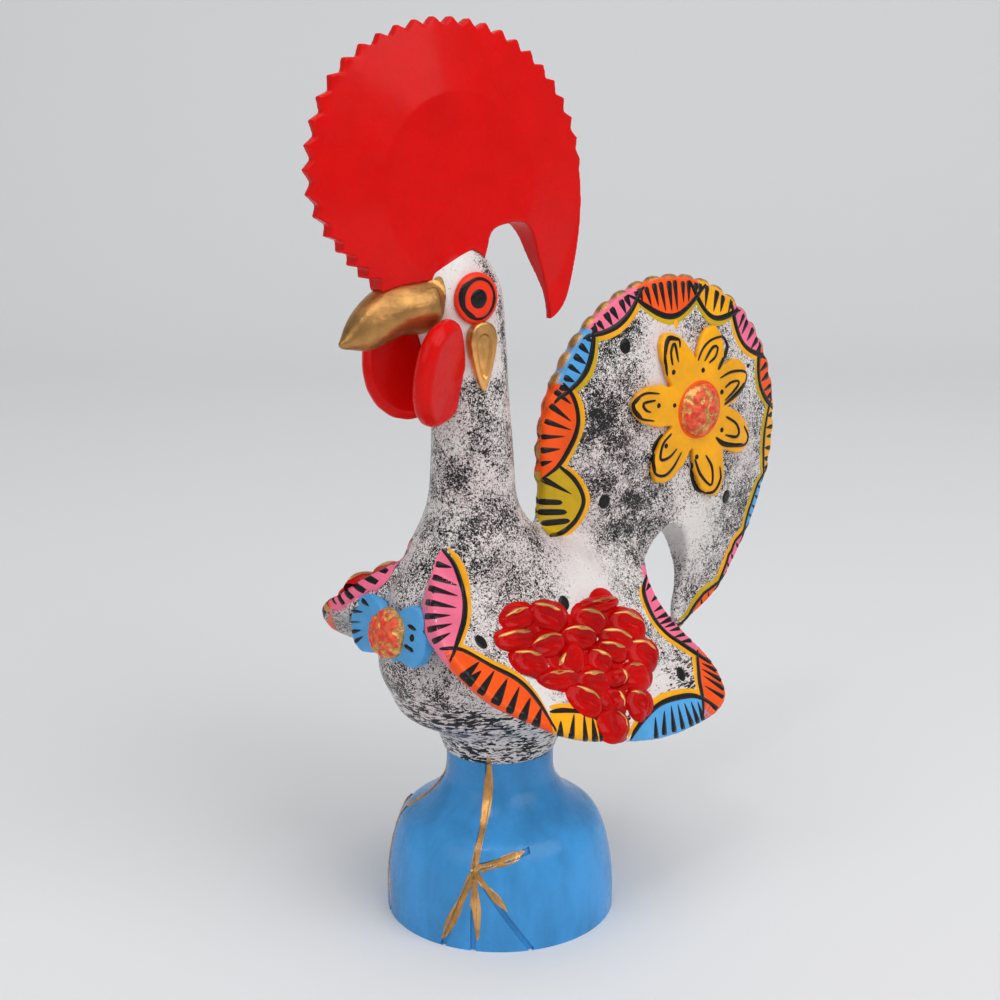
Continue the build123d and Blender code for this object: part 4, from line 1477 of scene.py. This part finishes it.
for pot in Paint.pots.values():
    pot_points, pot_faces = pot.net()
    mesh_piece(pot.name, pot.glaze, pot_points, pot_faces)
    if "chest" not in pot.name and "bed" not in pot.name:
        name = pot.name.replace("_left", "") + "_right"
        mesh_piece(name, pot.glaze, mirrored(pot_points), flipped(pot_faces))


def far_shift(seat):
    """Move of a mirrored berry: further forward on the far wing, still seated on it."""
    mirrored_seat = mirrored([seat])[0]
    start = mirrored_seat + Vector((far_bunch_shift[0], far_bunch_clear, far_bunch_shift[1]))
    place = skin_tree.ray_cast(start, Vector((0, -1, 0)))[0]
    if place is None or abs(place.y - mirrored_seat.y) > far_bunch_leap:
        return Vector()
    return place - mirrored_seat


def far_bed(points):
    """The bed of red under the far bunch, laid on the far wing."""
    slide = Vector((far_bunch_shift[0], 0, far_bunch_shift[1]))
    return [on_clay(point + slide, far_bed_lift, skin_tree) for point in mirrored(points)]


bed_points, bed_faces = Paint.pots["paint_berry_bed_berry"].net()
mesh_piece("paint_berry_bed_right", "berry", far_bed(bed_points), flipped(bed_faces))


def bunch(side):
    berry_chunks = []
    gold_chunks = []
    for seat, points, faces, gilt in berries:
        gilt_points, gilt_faces = strip_faces(gilt)
        if side == "right":
            shift = far_shift(seat)
            points = [point + shift for point in mirrored(points)]
            gilt_points = [point + shift for point in mirrored(gilt_points)]
            faces, gilt_faces = flipped(faces), flipped(gilt_faces)
        berry_chunks.append((points, faces))
        gold_chunks.append((gilt_points, gilt_faces))
    piece = mesh_piece("berries_" + side, "berry", *gathered(berry_chunks))
    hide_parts("berries_" + side)
    mesh_piece("berry_gold_" + side, "bright_gold", *gathered(gold_chunks))


bunch("left")
bunch("right")


# Studio: a pale floor that curves up behind, soft lights
light_distance = 2.0
light_aim = 0.15
daylight = 0.36
daylight_tone = (0.96, 0.98, 1.0, 1)
# Name, azimuth, elevation, size in metres and power in watts
lights = [
    ("key", -85, 25, 1.2, 5),
    ("fill", 12, 38, 1.6, 18),
    ("sparkle", -60, 52, 0.22, 2),
    ("top", -39, 78, 1.8, 14),
]


def make_studio():
    depth, rise, bend, half = 1.6, 1.8, 0.5, 3.0
    turn = math.radians(camera_azimuth)
    forward = Vector((-math.sin(turn), math.cos(turn), 0))
    side = Vector((math.cos(turn), math.sin(turn), 0))
    profile = [(-1.6, 0.0), (depth - bend, 0.0)]
    for index in range(1, 17):
        angle = math.pi / 2 * index / 16
        profile.append((depth - bend + bend * math.sin(angle), bend - bend * math.cos(angle)))
    profile.append((depth, rise))
    points = []
    for out, up in profile:
        for across in (-half, half):
            points.append(forward * out + side * across + Vector((0, 0, up)))
    faces = [(row, row + 1, row + 3, row + 2) for row in range(0, 2 * len(profile) - 2, 2)]
    mesh = bpy.data.meshes.new("studio")
    mesh.from_pydata(points, [], faces)
    mesh.shade_smooth()
    shader = Shader("studio_paper")
    tone = shader.mix(shader.noise(3, 2), (0.795, 0.80, 0.81), (0.81, 0.815, 0.825))
    shader.set("Base Color", tone)
    shader.set("Roughness", 0.9)
    mesh.materials.append(shader.material)
    studio = bpy.data.objects.new("studio", mesh)
    scene.collection.objects.link(studio)


def add_light(name, azimuth, elevation, size, power):
    """A soft square light that looks at the rooster."""
    turn, climb = math.radians(azimuth), math.radians(elevation)
    data = bpy.data.lights.new(name, "AREA")
    data.size = size
    data.energy = power
    light = bpy.data.objects.new(name, data)
    out = Vector((math.sin(turn) * math.cos(climb), -math.cos(turn) * math.cos(climb), math.sin(climb)))
    light.location = out * light_distance + Vector((0, 0, light_aim))
    light.rotation_euler = out.to_track_quat("Z", "Y").to_euler()
    scene.collection.objects.link(light)


make_studio()
for light in lights:
    add_light(*light)
world = bpy.data.worlds.new("world")
world.use_nodes = True
world.node_tree.nodes["Background"].inputs["Color"].default_value = daylight_tone
world.node_tree.nodes["Background"].inputs["Strength"].default_value = daylight
scene.world = world
scene.view_settings.view_transform = "Standard"
